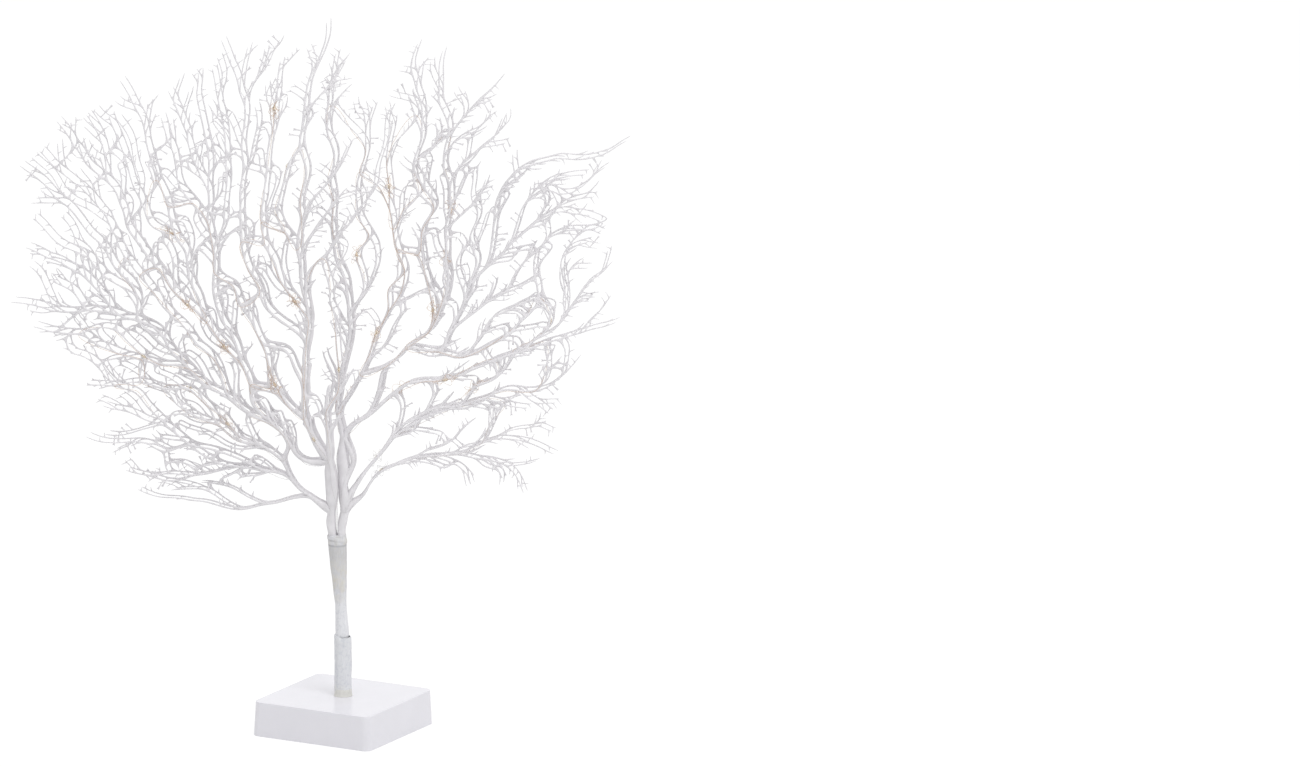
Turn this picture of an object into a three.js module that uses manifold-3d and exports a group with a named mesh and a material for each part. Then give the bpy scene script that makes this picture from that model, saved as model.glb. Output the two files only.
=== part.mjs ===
// A light tree for a table: a white moulded base with its battery case and switch, a taped trunk,
// four flat coral branches in two mouldings, and two strings of small lamps wound on the boughs.
// Millimetres, +Z up. The origin is on the ground, under the middle of the base, whose front is -Y.

import * as THREE from 'three';
import { mergeVertices } from 'three/addons/utils/BufferGeometryUtils.js';
import Module from 'manifold-3d';

const wasm = await Module();
wasm.setup();

// Clearances, and how far two shapes run into each other where they are joined
const GAP = 0.3;
const SLIP = 0.15;
const DOOR_GAP = 0.35;
const MERGE = 0.5;

// Base shell
const BASE_SIDE = 111.5;
const BASE_HEIGHT = 29;
const BASE_DRAFT = 2.4;
const BASE_CORNER = 6.4;
const BASE_EDGE = 0.9;
const BASE_WALL = 2.2;
const BASE_TOP_WALL = 2.4;
const CORNER_STEPS = 5;
const SPIGOT_BORE = 3.2;
const SPIGOT_RISE = 20;
const RIB_THICK = 1.6;
const RIB_DEPTH = 3.6;
const RIB_REACH = 30;

// Floor plate and its fixings
const FLOOR_THICK = 2.4;
const SCREW_INSET = 12;
const SCREW_SHANK = 1.4;
const SCREW_LENGTH = 9;
const SCREW_HEAD = 2.9;
const SCREW_HEAD_HIGH = 2;
const SCREW_SLOT = 0.8;
const SCREW_SLOT_LONG = 3.5;
const WELL_RADIUS = 4.6;
const WELL_HEIGHT = 8;
const WELL_ROOF = 2.6;
const BOSS_RADIUS = 4;

// Battery case
const CELL_RADIUS = 7.15;
const CELL_LENGTH = 50.5;
const CELL_SHOULDER = 0.7;
const CELL_NUB_RADIUS = 2.7;
const CELL_NUB = 1.1;
const CELL_COUNT = 3;
const CELL_SPACE = 0.4;
const CASE_WALL = 1.5;
const CASE_LEDGE = 0.5;
const SPRING_ROOM = 6.6;
const SPRING_WIRE = 0.4;
const SPRING_RADIUS = 4.2;
const SPRING_TAPER = 0.3;
const SPRING_TURNS = 3;
const PLATE_THICK = 0.5;
const PLATE_HIGH = 10.4;
const PLATE_WIDE = 9.6;
const SOLDER_TAB = 3;
const SOLDER_TAB_RISE = 1.5;

// Battery door
const DOOR_THICK = 1.9;
const DOOR_RECESS = 0.3;
const KNUCKLE_RADIUS = 1.3;
const HINGE_PIN = 0.8;
const HINGE_PIN_LONG = 1;
const TAB_LONG = 10.4;
const TAB_WIDE = 11;
const GRIP_GROOVES = 5;
const GRIP_GROOVE = 1.4;
const GRIP_DEPTH = 0.2;
const GRIP_INSET = 2.4;

// Switch and circuit board
const SWITCH_X = 20;
const SWITCH_Y = -30;
const SWITCH_TRAVEL = 5;
const KNOB_LONG = 3;
const KNOB_WIDE = 3;
const KNOB_GROOVE = 0.5;
const SHOE_LONG = 4.4;
const SHOE_WIDE = 4.4;
const SHOE_HIGH = 1.3;
const SWITCH_LONG = 14;
const SWITCH_WIDE = 7;
const SWITCH_HIGH = 4.8;
const SWITCH_PLATE = 1;
const BOARD_LONG = 46;
const BOARD_WIDE = 20;
const BOARD_THICK = 1.2;
const BOARD_X = 6;
const POST_RADIUS = 2.4;
const POST_INSET = 3.4;
const CHIP = { x: -3.5, y: 0, long: 5, wide: 4, high: 1.5 };
const RESISTOR = { x: 4.6, y: 3.8, long: 3.2, wide: 1.6, high: 0.6 };
const CAPACITOR = { x: -14, y: 4, radius: 2.5, high: 7 };

// Trunk: a taped tube on the base, and in its mouth a slimmer taped rod that leans
const CROWN_TURN = 28;
const TRUNK_LEAN = 3;
const TUBE_RADIUS = 6.45;
const TUBE_WALL = 0.7;
const TUBE_LONG = 50;
const LOWER_TAPE = 0.5;
const LOWER_TAPE_SWELL = 0.25;
const GLUE_HEIGHT = 4.2;
const GLUE_SPREAD = 1.5;
const PLUG_LONG = 19;
const PLUG_SHOULDER = 0.5;
const ROD_BORE = 1.5;
const UPPER_TAPE = 0.5;
const NECK_LONG = 29;
const WRAP_LONG = 87;
const BAND_HEIGHT = 8;
const BAND_THICK = 0.45;

// Branch stems, bundled in the upper wrap
const STEM_SUNK = 42;
const STEM_START_SPREAD = 1.8;
const STEM_SPREAD = 3.1;
const STEM_ROD_GAP = 3;
const STEM_BREADTH = 1.45;
const STEM_BROAD_FROM = 8;
const STEM_GIRTH = 2.15;

// Where the two light strings rise between the stems
const SLIT_X = 0.25;
const STRINGS_APART = 0.9;

// Crown, measured from the top of the wrap
const CROWN_X = -10;
const CROWN_Z = 206;
const FAN_PARTING = 6;
const FAN_STEP = 10;
const FAN_FLARE = 9;
const FAN_BEND = 22;
const FAN_RIPPLE = 8;
const FAN_SHIFT = 3.2;
const SHIFT_START = 30;
const SHIFT_RISE = 90;
const BEND_START = 60;
const BEND_RISE = 260;
const PART_RISE = 90;
const BOUGH_STEP = 21;
const TWIG_STEP = 19;
const TIP_REACH = 3;

// Light strings
const WIRE_RADIUS = 0.3;
const WIRE_GAP = 0.55;
const WIRE_LAYER = 1.6;
const BEAD_RADIUS = 1.45;
const BEAD_LENGTH = 5;
const BEAD_BORE = 0.6;
const LEAD_RADIUS = 0.8;
const CELL_LEAD_RADIUS = 0.6;

const RADIANS = Math.PI / 180;
const draftAt = (z) => z * Math.tan(BASE_DRAFT * RADIANS);

// Heights and widths of the trunk
const tubeTop = BASE_HEIGHT + TUBE_LONG;
const plugEnd = tubeTop - PLUG_LONG;
const pivotZ = tubeTop - PLUG_LONG / 2;
const neckTop = tubeTop + NECK_LONG;
const wrapTop = tubeTop + WRAP_LONG;
const stemStart = wrapTop - STEM_SUNK;
const rodTop = stemStart - STEM_ROD_GAP;
const tubeInside = TUBE_RADIUS - TUBE_WALL;
const plugLean = PLUG_LONG / 2 * Math.tan(TRUNK_LEAN * RADIANS);
const rodRadius = tubeInside - plugLean - GAP - UPPER_TAPE - GAP;
const leanX = (z) => -(z - pivotZ) * Math.tan(TRUNK_LEAN * RADIANS);

// Solids

function toSolid(geometry) {
  const bare = geometry.clone();
  bare.deleteAttribute('normal');
  bare.deleteAttribute('uv');
  const merged = mergeVertices(bare, 1e-4);
  const vertProperties = new Float32Array(merged.attributes.position.array);
  const triVerts = new Uint32Array(merged.index.array);
  return new wasm.Manifold(new wasm.Mesh({ numProp: 3, vertProperties, triVerts }));
}

function toGeometry(solid) {
  const { vertProperties, triVerts } = solid.getMesh();
  const geometry = new THREE.BufferGeometry();
  geometry.setAttribute('position', new THREE.BufferAttribute(new Float32Array(vertProperties), 3));
  geometry.setIndex(new THREE.BufferAttribute(new Uint32Array(triVerts), 1));
  geometry.computeVertexNormals();
  return geometry;
}

function block(x0, x1, y0, y1, z0, z1) {
  const geometry = new THREE.BoxGeometry(x1 - x0, y1 - y0, z1 - z0);
  return toSolid(geometry.translate((x0 + x1) / 2, (y0 + y1) / 2, (z0 + z1) / 2));
}

function post(radius, x, y, z0, z1, sides = 12) {
  const geometry = new THREE.CylinderGeometry(radius, radius, z1 - z0, sides).rotateX(Math.PI / 2);
  return toSolid(geometry.translate(x, y, (z0 + z1) / 2));
}

function meshFrom(points, faces) {
  const geometry = new THREE.BufferGeometry();
  geometry.setAttribute('position', new THREE.Float32BufferAttribute(points.flat(), 3));
  geometry.setIndex(faces.flat());
  geometry.computeVertexNormals();
  return geometry;
}

function squareRing(side, corner, z) {
  const ring = [];
  const inner = side / 2 - corner;
  for (let quarter = 0; quarter < 4; quarter++) {
    const cx = inner * (quarter === 0 || quarter === 3 ? 1 : -1);
    const cy = inner * (quarter < 2 ? 1 : -1);
    for (let n = 0; n <= CORNER_STEPS; n++) {
      const turn = (quarter + n / CORNER_STEPS) * Math.PI / 2;
      ring.push([cx + corner * Math.cos(turn), cy + corner * Math.sin(turn), z]);
    }
  }
  return ring;
}

function loft(rings) {
  const count = rings[0].length;
  const points = rings.flat();
  const faces = [];
  for (let level = 0; level + 1 < rings.length; level++) {
    for (let n = 0; n < count; n++) {
      const a = level * count + n;
      const b = level * count + (n + 1) % count;
      faces.push([a, b, b + count], [a, b + count, a + count]);
    }
  }
  const top = (rings.length - 1) * count;
  for (let n = 1; n + 1 < count; n++) {
    faces.push([0, n + 1, n], [top, top + n, top + n + 1]);
  }
  return meshFrom(points, faces);
}

function turned(profile, sides) {
  const outline = profile.map(([r, z]) => new THREE.Vector2(r, z));
  return new THREE.LatheGeometry(outline, sides).rotateX(Math.PI / 2);
}

// A closed tube along a line of points, turned at each point without twist
function sweep(path, radius, sides) {
  const points = path.map((p) => (p.isVector3 ? p : new THREE.Vector3(...p)));
  const ahead = points.map((p, n) => {
    const before = points[Math.max(0, n - 1)];
    const after = points[Math.min(points.length - 1, n + 1)];
    return after.clone().sub(before).normalize();
  });
  let across = new THREE.Vector3(0, 1, 0);
  if (Math.abs(ahead[0].y) > 0.8) across = new THREE.Vector3(1, 0, 0);
  const corners = [];
  points.forEach((p, n) => {
    across.addScaledVector(ahead[n], -across.dot(ahead[n])).normalize();
    const upward = new THREE.Vector3().crossVectors(ahead[n], across);
    const width = typeof radius === 'number' ? radius : radius(n);
    for (let k = 0; k < sides; k++) {
      const turn = k * 2 * Math.PI / sides;
      const corner = p.clone().addScaledVector(across, width * Math.cos(turn));
      corners.push(corner.addScaledVector(upward, width * Math.sin(turn)).toArray());
    }
  });
  const faces = [];
  for (let n = 0; n + 1 < points.length; n++) {
    for (let k = 0; k < sides; k++) {
      const a = n * sides + k;
      const b = n * sides + (k + 1) % sides;
      faces.push([a, b, b + sides], [a, b + sides, a + sides]);
    }
  }
  const last = (points.length - 1) * sides;
  for (let k = 1; k + 1 < sides; k++) {
    faces.push([0, k + 1, k], [last, last + k, last + k + 1]);
  }
  return meshFrom(corners, faces);
}

// Seats shared by the pieces in the base

const cavitySide = (z) => BASE_SIDE - 2 * BASE_WALL - 2 * draftAt(z);
const screwPlaces = [[-1, -1], [1, -1], [1, 1], [-1, 1]].map(([sx, sy]) => [
  sx * (BASE_SIDE / 2 - SCREW_INSET),
  sy * (BASE_SIDE / 2 - SCREW_INSET),
]);
const caseInside = {
  x: (CELL_LENGTH + SPRING_ROOM + 2 * PLATE_THICK + 3 * GAP) / 2,
  z0: DOOR_RECESS + DOOR_THICK + 3 * GAP,
};
caseInside.z1 = caseInside.z0 + 2 * CELL_RADIUS + CELL_SPACE;
caseInside.y1 = cavitySide(caseInside.z1 + CASE_WALL) / 2 - 2 * GAP - CASE_WALL;
caseInside.y0 = caseInside.y1 - CELL_COUNT * 2 * CELL_RADIUS - (CELL_COUNT + 1) * CELL_SPACE;
const cellAxisZ = caseInside.z0 + CELL_RADIUS;
const cellAxisY = (n) => caseInside.y0 + CELL_SPACE + CELL_RADIUS + n * (2 * CELL_RADIUS + CELL_SPACE);
const tabTop = caseInside.z1 + CASE_WALL + SOLDER_TAB_RISE;

// The cells lie in series, so contact n joins the cells n - 1 and n, at the left end and the right
// end by turns; the first and the last contact have a solder tab
const contactSide = (n) => (n % 2 === 0 ? -1 : 1);
const solderTabs = [0, CELL_COUNT].map((n) => ({
  contact: n,
  side: contactSide(n),
  x: contactSide(n) * (caseInside.x - GAP - PLATE_THICK / 2),
  y: cellAxisY(n === 0 ? 0 : CELL_COUNT - 1),
}));
const doorHole = {
  x: caseInside.x - CASE_LEDGE,
  y0: caseInside.y0 + CASE_LEDGE,
  y1: caseInside.y1 - CASE_LEDGE,
};
doorHole.middle = (doorHole.y0 + doorHole.y1) / 2;
const hinge = {
  x: -doorHole.x + DOOR_GAP + KNUCKLE_RADIUS,
  z: DOOR_RECESS + KNUCKLE_RADIUS,
};
const tabEnd = doorHole.x + TAB_LONG;
const doorScrewX = tabEnd - TAB_WIDE / 2;
const boardBottom = FLOOR_THICK + GAP + SWITCH_HIGH + GAP;
const boardPosts = [-1, 1].map((side) => [
  BOARD_X - BOARD_LONG / 2 + POST_INSET,
  SWITCH_Y + side * (BOARD_WIDE / 2 - POST_INSET),
]);

function baseShell() {
  const top = BASE_HEIGHT;
  const side = (z) => BASE_SIDE - 2 * draftAt(z);
  let shell = toSolid(loft([
    squareRing(side(0), BASE_CORNER, 0),
    squareRing(side(top - BASE_EDGE), BASE_CORNER, top - BASE_EDGE),
    squareRing(side(top) - 0.6 * BASE_EDGE, BASE_CORNER - 0.3 * BASE_EDGE, top - 0.3 * BASE_EDGE),
    squareRing(side(top) - 2 * BASE_EDGE, BASE_CORNER - BASE_EDGE, top),
  ]));
  const roof = top - BASE_TOP_WALL;
  const ribFoot = roof - RIB_DEPTH;
  const half = RIB_THICK / 2;
  const spigotRadius = tubeInside - GAP;
  const spigotTop = top + SPIGOT_RISE;
  shell = shell.subtract(toSolid(loft([
    squareRing(cavitySide(-1), BASE_CORNER - BASE_WALL, -1),
    squareRing(cavitySide(roof), BASE_CORNER - BASE_WALL, roof),
  ])));
  for (const [x, y] of screwPlaces) {
    shell = shell.add(post(BOSS_RADIUS, x, y, WELL_HEIGHT + GAP, roof + MERGE));
  }
  shell = shell.add(block(-RIB_REACH, RIB_REACH, -half, half, ribFoot, roof + MERGE));
  shell = shell.add(block(-half, half, -RIB_REACH, RIB_REACH, ribFoot, roof + MERGE));
  shell = shell.add(post(spigotRadius + RIB_THICK / 2, 0, 0, ribFoot, roof + MERGE, 20));
  shell = shell.add(post(spigotRadius, 0, 0, roof, spigotTop, 20));
  shell = shell.subtract(post(SPIGOT_BORE, 0, 0, ribFoot - 1, spigotTop + 1));
  for (const [x, y] of screwPlaces) {
    shell = shell.subtract(post(SCREW_SHANK + SLIP, x, y, WELL_HEIGHT, WELL_HEIGHT + SCREW_LENGTH));
  }
  return toGeometry(shell);
}

function floorPlate() {
  const foot = (z) => cavitySide(z) - 2 * GAP;
  const corner = BASE_CORNER - BASE_WALL - GAP;
  const bedded = FLOOR_THICK / 2;
  let floor = toSolid(loft([
    squareRing(foot(0), corner, 0),
    squareRing(foot(FLOOR_THICK), corner, FLOOR_THICK),
  ]));
  const { x, y0, y1, z1 } = caseInside;
  const outer = x + CASE_WALL;
  const caseTop = z1 + CASE_WALL;
  const { middle } = doorHole;
  const tabHalf = TAB_WIDE / 2;
  const tabRoom = DOOR_RECESS + DOOR_THICK + DOOR_GAP;
  floor = floor.add(block(-outer, outer, y0 - CASE_WALL, y1 + CASE_WALL, bedded, caseTop));
  floor = floor.add(block(
    outer - 1, tabEnd + CASE_WALL,
    middle - tabHalf - CASE_WALL, middle + tabHalf + CASE_WALL,
    bedded, WELL_HEIGHT,
  ));
  floor = floor.subtract(block(-x, x, y0, y1, FLOOR_THICK, z1));
  floor = floor.subtract(block(-doorHole.x, doorHole.x, doorHole.y0, doorHole.y1, -1, FLOOR_THICK + 1));
  floor = floor.subtract(block(doorHole.x - 1, tabEnd, middle - tabHalf, middle + tabHalf, -1, tabRoom));
  floor = floor.subtract(post(SCREW_SHANK + DOOR_GAP, doorScrewX, middle, tabRoom - 1, WELL_HEIGHT + 1));
  for (const tab of solderTabs) {
    const wide = PLATE_THICK / 2 + SLIP;
    const long = SOLDER_TAB / 2 + GAP;
    const slit = block(tab.x - wide, tab.x + wide, tab.y - long, tab.y + long, z1 - 1, caseTop + 1);
    floor = floor.subtract(slit);
  }
  for (const end of [doorHole.y0, doorHole.y1]) {
    const socket = HINGE_PIN + GAP;
    const pin = new THREE.CylinderGeometry(socket, socket, 2 * (HINGE_PIN_LONG + MERGE), 10);
    floor = floor.subtract(toSolid(pin.translate(hinge.x, end, hinge.z)));
  }
  for (const [sx, sy] of screwPlaces) {
    floor = floor.add(post(WELL_RADIUS, sx, sy, bedded, WELL_HEIGHT));
    floor = floor.subtract(post(SCREW_HEAD + GAP, sx, sy, -1, WELL_HEIGHT - WELL_ROOF));
    floor = floor.subtract(post(SCREW_SHANK + SLIP, sx, sy, 0, WELL_HEIGHT + 1));
  }
  for (const [px, py] of boardPosts) {
    floor = floor.add(post(POST_RADIUS, px, py, bedded, boardBottom - GAP));
  }
  const slotStart = SWITCH_X - KNOB_LONG / 2 - GAP;
  floor = floor.subtract(block(
    slotStart, slotStart + SWITCH_TRAVEL + KNOB_LONG + 2 * GAP,
    SWITCH_Y - KNOB_WIDE / 2 - GAP, SWITCH_Y + KNOB_WIDE / 2 + GAP,
    -1, FLOOR_THICK + 1,
  ));
  return toGeometry(floor);
}

function floorScrew() {
  const seat = WELL_HEIGHT - WELL_ROOF - GAP;
  const slot = SCREW_SLOT / 2;
  const reach = SCREW_SLOT_LONG / 2;
  const deep = seat - SCREW_HEAD_HIGH / 2;
  let screw = post(SCREW_HEAD, 0, 0, seat - SCREW_HEAD_HIGH, seat);
  screw = screw.add(post(SCREW_SHANK, 0, 0, seat - MERGE, seat + SCREW_LENGTH, 10));
  screw = screw.subtract(block(-reach, reach, -slot, slot, 0, deep));
  screw = screw.subtract(block(-slot, slot, -reach, reach, 0, deep));
  return toGeometry(screw);
}

function batteryDoor() {
  const y0 = doorHole.y0 + DOOR_GAP;
  const y1 = doorHole.y1 - DOOR_GAP;
  const top = DOOR_RECESS + DOOR_THICK;
  const tabSide = TAB_WIDE / 2 - DOOR_GAP;
  const { middle } = doorHole;
  let door = block(hinge.x, doorHole.x - DOOR_GAP, y0, y1, DOOR_RECESS, top);
  door = door.add(block(0, tabEnd - DOOR_GAP, middle - tabSide, middle + tabSide, DOOR_RECESS, top));
  const knuckle = new THREE.CylinderGeometry(KNUCKLE_RADIUS, KNUCKLE_RADIUS, y1 - y0, 14);
  door = door.add(toSolid(knuckle.translate(hinge.x, middle, hinge.z)));
  const pinLong = y1 - y0 + 2 * HINGE_PIN_LONG + DOOR_GAP;
  const pin = new THREE.CylinderGeometry(HINGE_PIN, HINGE_PIN, pinLong, 10);
  door = door.add(toSolid(pin.translate(hinge.x, middle, hinge.z)));
  for (let n = 0; n < GRIP_GROOVES; n++) {
    const x = doorHole.x - GRIP_INSET - 2 * n * GRIP_GROOVE;
    const deep = DOOR_RECESS + GRIP_DEPTH;
    door = door.subtract(block(x - GRIP_GROOVE, x, middle - TAB_WIDE, middle + TAB_WIDE, 0, deep));
  }
  door = door.subtract(post(SCREW_HEAD + SLIP, doorScrewX, middle, 0, DOOR_RECESS + DOOR_THICK / 2));
  door = door.subtract(post(SCREW_SHANK + SLIP, doorScrewX, middle, 0, top + 1));
  return toGeometry(door);
}

function doorScrew() {
  const seat = DOOR_RECESS + DOOR_THICK / 2 - SLIP;
  const slot = SCREW_SLOT / 2;
  const reach = SCREW_SLOT_LONG / 2;
  let screw = post(SCREW_HEAD, 0, 0, DOOR_RECESS, seat);
  screw = screw.add(post(SCREW_SHANK, 0, 0, seat - SLIP, WELL_HEIGHT - GAP, 10));
  screw = screw.subtract(block(-reach, reach, -slot, slot, 0, seat - SLIP));
  return toGeometry(screw);
}

// A cell lies along X, its minus end at x = 0
function batteryCell() {
  const shoulder = CELL_LENGTH - CELL_NUB;
  const profile = [
    [0, 0], [CELL_RADIUS - CELL_SHOULDER, 0], [CELL_RADIUS, CELL_SHOULDER],
    [CELL_RADIUS, shoulder - CELL_SHOULDER], [CELL_RADIUS - CELL_SHOULDER, shoulder],
    [CELL_NUB_RADIUS, shoulder], [CELL_NUB_RADIUS, CELL_LENGTH], [0, CELL_LENGTH],
  ];
  return turned(profile, 12).rotateY(Math.PI / 2);
}

// A tapered spring from a contact plate to the minus end of cell n
function contactSpring(n) {
  const side = contactSide(n);
  const foot = caseInside.x - GAP - PLATE_THICK;
  const steps = SPRING_TURNS * 6;
  const long = SPRING_ROOM - GAP - SPRING_WIRE;
  const line = [];
  for (let k = 0; k <= steps; k++) {
    const turn = k * Math.PI / 3;
    const radius = SPRING_RADIUS * (1 - SPRING_TAPER * k / steps);
    line.push([
      side * (foot - long * k / steps),
      cellAxisY(n) + radius * Math.cos(turn),
      cellAxisZ + radius * Math.sin(turn),
    ]);
  }
  return toSolid(sweep(line, SPRING_WIRE, 4));
}

function contactPlate(n) {
  const side = contactSide(n);
  const cells = [n - 1, n].filter((cell) => cell >= 0 && cell < CELL_COUNT);
  const faces = [caseInside.x - GAP - PLATE_THICK, caseInside.x - GAP].map((x) => side * x);
  const [x0, x1] = faces.sort((a, b) => a - b);
  const y0 = cellAxisY(cells[0]) - PLATE_WIDE / 2;
  const y1 = cellAxisY(cells[cells.length - 1]) + PLATE_WIDE / 2;
  let plate = block(x0, x1, y0, y1, cellAxisZ - PLATE_HIGH / 2, cellAxisZ + PLATE_HIGH / 2);
  if (cells.length === 1) {
    const middle = cellAxisY(cells[0]);
    plate = plate.add(block(x0, x1, middle - SOLDER_TAB / 2, middle + SOLDER_TAB / 2, cellAxisZ, tabTop));
  }
  if (n < CELL_COUNT) plate = plate.add(contactSpring(n));
  return toGeometry(plate);
}

function switchBody() {
  const z0 = FLOOR_THICK + GAP;
  const shoeFoot = z0 + SWITCH_PLATE;
  const middle = SWITCH_X + SWITCH_TRAVEL / 2;
  const reach = (SWITCH_TRAVEL + SHOE_LONG) / 2 + GAP;
  const slot = (SWITCH_TRAVEL + KNOB_LONG) / 2 + GAP;
  let body = block(
    middle - SWITCH_LONG / 2, middle + SWITCH_LONG / 2,
    SWITCH_Y - SWITCH_WIDE / 2, SWITCH_Y + SWITCH_WIDE / 2,
    z0, z0 + SWITCH_HIGH,
  );
  body = body.subtract(block(
    middle - reach, middle + reach,
    SWITCH_Y - SHOE_WIDE / 2 - GAP, SWITCH_Y + SHOE_WIDE / 2 + GAP,
    shoeFoot, shoeFoot + SHOE_HIGH + 2 * GAP,
  ));
  body = body.subtract(block(
    middle - slot, middle + slot,
    SWITCH_Y - KNOB_WIDE / 2 - GAP, SWITCH_Y + KNOB_WIDE / 2 + GAP,
    z0 - 1, shoeFoot + MERGE,
  ));
  return toGeometry(body);
}

function switchSlider() {
  const shoe = { x: SHOE_LONG / 2, y: SHOE_WIDE / 2, foot: FLOOR_THICK + SWITCH_PLATE + 2 * GAP };
  const knob = { x: KNOB_LONG / 2, y: KNOB_WIDE / 2, foot: 2 * GAP };
  const half = KNOB_GROOVE / 2;
  let slider = block(-shoe.x, shoe.x, -shoe.y, shoe.y, shoe.foot, shoe.foot + SHOE_HIGH);
  slider = slider.add(block(-knob.x, knob.x, -knob.y, knob.y, knob.foot, shoe.foot + MERGE));
  for (const x of [-knob.x / 2, knob.x / 2]) {
    const groove = block(x - half, x + half, -KNOB_WIDE, KNOB_WIDE, 0, knob.foot + KNOB_GROOVE);
    slider = slider.subtract(groove);
  }
  return toGeometry(slider);
}

function circuitBoard() {
  const top = boardBottom + BOARD_THICK;
  const sunk = top - MERGE;
  let board = block(
    BOARD_X - BOARD_LONG / 2, BOARD_X + BOARD_LONG / 2,
    SWITCH_Y - BOARD_WIDE / 2, SWITCH_Y + BOARD_WIDE / 2,
    boardBottom, top,
  );
  for (const { x, y, long, wide, high } of [CHIP, RESISTOR]) {
    const [cx, cy] = [BOARD_X + x, SWITCH_Y + y];
    board = board.add(block(cx - long / 2, cx + long / 2, cy - wide / 2, cy + wide / 2, sunk, top + high));
  }
  const { x, y, radius, high } = CAPACITOR;
  board = board.add(post(radius, BOARD_X + x, SWITCH_Y + y, sunk, top + high));
  return toGeometry(board);
}

// Trunk

function lowerTube() {
  const z0 = BASE_HEIGHT + GAP;
  return turned([
    [tubeInside, z0], [TUBE_RADIUS, z0], [TUBE_RADIUS, tubeTop], [tubeInside, tubeTop], [tubeInside, z0],
  ], 20);
}

// The tape is wound with laps, so that its outside swells and steps back in as it goes up
function lowerTape() {
  const z0 = BASE_HEIGHT + GLUE_HEIGHT + GAP;
  const z1 = tubeTop + GAP;
  const inner = TUBE_RADIUS + SLIP;
  const outer = inner + LOWER_TAPE;
  const swell = outer + LOWER_TAPE_SWELL;
  const laps = [[0.24, swell], [0.27, outer], [0.52, swell], [0.56, outer], [0.84, swell], [0.88, outer]];
  const outside = laps.map(([share, radius]) => [radius, z0 + share * (z1 - z0)]);
  return turned([[inner, z0], [outer, z0], ...outside, [outer, z1], [inner, z1], [inner, z0]], 20);
}

function glueRing() {
  const z0 = BASE_HEIGHT + GAP;
  const z1 = BASE_HEIGHT + GLUE_HEIGHT;
  const inner = TUBE_RADIUS + SLIP;
  const outer = inner + GLUE_SPREAD;
  const collar = inner + 0.4 * GLUE_SPREAD;
  return turned([
    [inner, z0], [outer, z0], [outer - SLIP, z0 + 0.2 * GLUE_HEIGHT], [collar, z0 + 0.4 * GLUE_HEIGHT],
    [collar, z1], [inner, z1], [inner, z0],
  ], 20);
}

// Radius of the hole that the tape leaves round the rod and the bundled stems
function wrapInside(z) {
  const slim = rodRadius + GAP;
  const full = 2 * STEM_SPREAD + 0.75;
  if (z < neckTop) return slim;
  const share = (z - neckTop) / (wrapTop - neckTop);
  return slim + (full - slim) * Math.min(1, 1.15 * Math.sin(share * Math.PI / 2));
}

// The rod, the upper tape and the band lean, so their heights count from the pivot of the lean
const fromPivot = ([radius, z]) => [radius, z - pivotZ];

function coreRod() {
  return turned([
    [ROD_BORE, plugEnd], [rodRadius, plugEnd], [rodRadius, rodTop - 1], [rodRadius - 1, rodTop],
    [ROD_BORE, rodTop], [ROD_BORE, plugEnd],
  ].map(fromPivot), 16);
}

// Plain in the mouth of the tube, with a shoulder on its rim, then slim, then widening over the stems
function upperTape() {
  const rise = wrapTop - neckTop;
  const levels = [plugEnd, neckTop, ...[0.25, 0.5, 0.75, 1].map((share) => neckTop + share * rise)];
  const inside = levels.map((z) => [wrapInside(z), z]).reverse();
  const [foot, neck, ...flare] = levels.map((z) => [wrapInside(z) + UPPER_TAPE, z]);
  const slim = foot[0];
  const shoulder = [
    [slim, tubeTop + GAP], [slim + PLUG_SHOULDER, tubeTop + 1.5], [slim + PLUG_SHOULDER, tubeTop + 4],
    [slim, tubeTop + 10],
  ];
  return turned([foot, ...shoulder, neck, ...flare, ...inside, foot].map(fromPivot), 20);
}

function bindingBand() {
  const z0 = wrapTop - BAND_HEIGHT;
  const z1 = wrapTop + GAP;
  const bulge = z0 + 0.55 * BAND_HEIGHT;
  const low = wrapInside(z0) + UPPER_TAPE + SLIP;
  const high = wrapInside(wrapTop) + UPPER_TAPE + SLIP;
  return turned([
    [low, z0], [low + BAND_THICK, z0], [high + BAND_THICK + SLIP, bulge], [high + BAND_THICK, z1],
    [high, z1], [high, bulge], [low, z0],
  ].map(fromPivot), 20);
}

// Coral nets. Each moulding is a flat net of knots joined by twigs, drawn in its own plane from the
// top of the wrap: x to the right, z up. Its main boughs follow these routes, from stem to tip, and
// smaller twigs grow between them. The stems reach down into the leaning wrap.

const inWrap = (depth, x) => [x + depth * Math.tan(TRUNK_LEAN * RADIANS), -depth];

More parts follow.
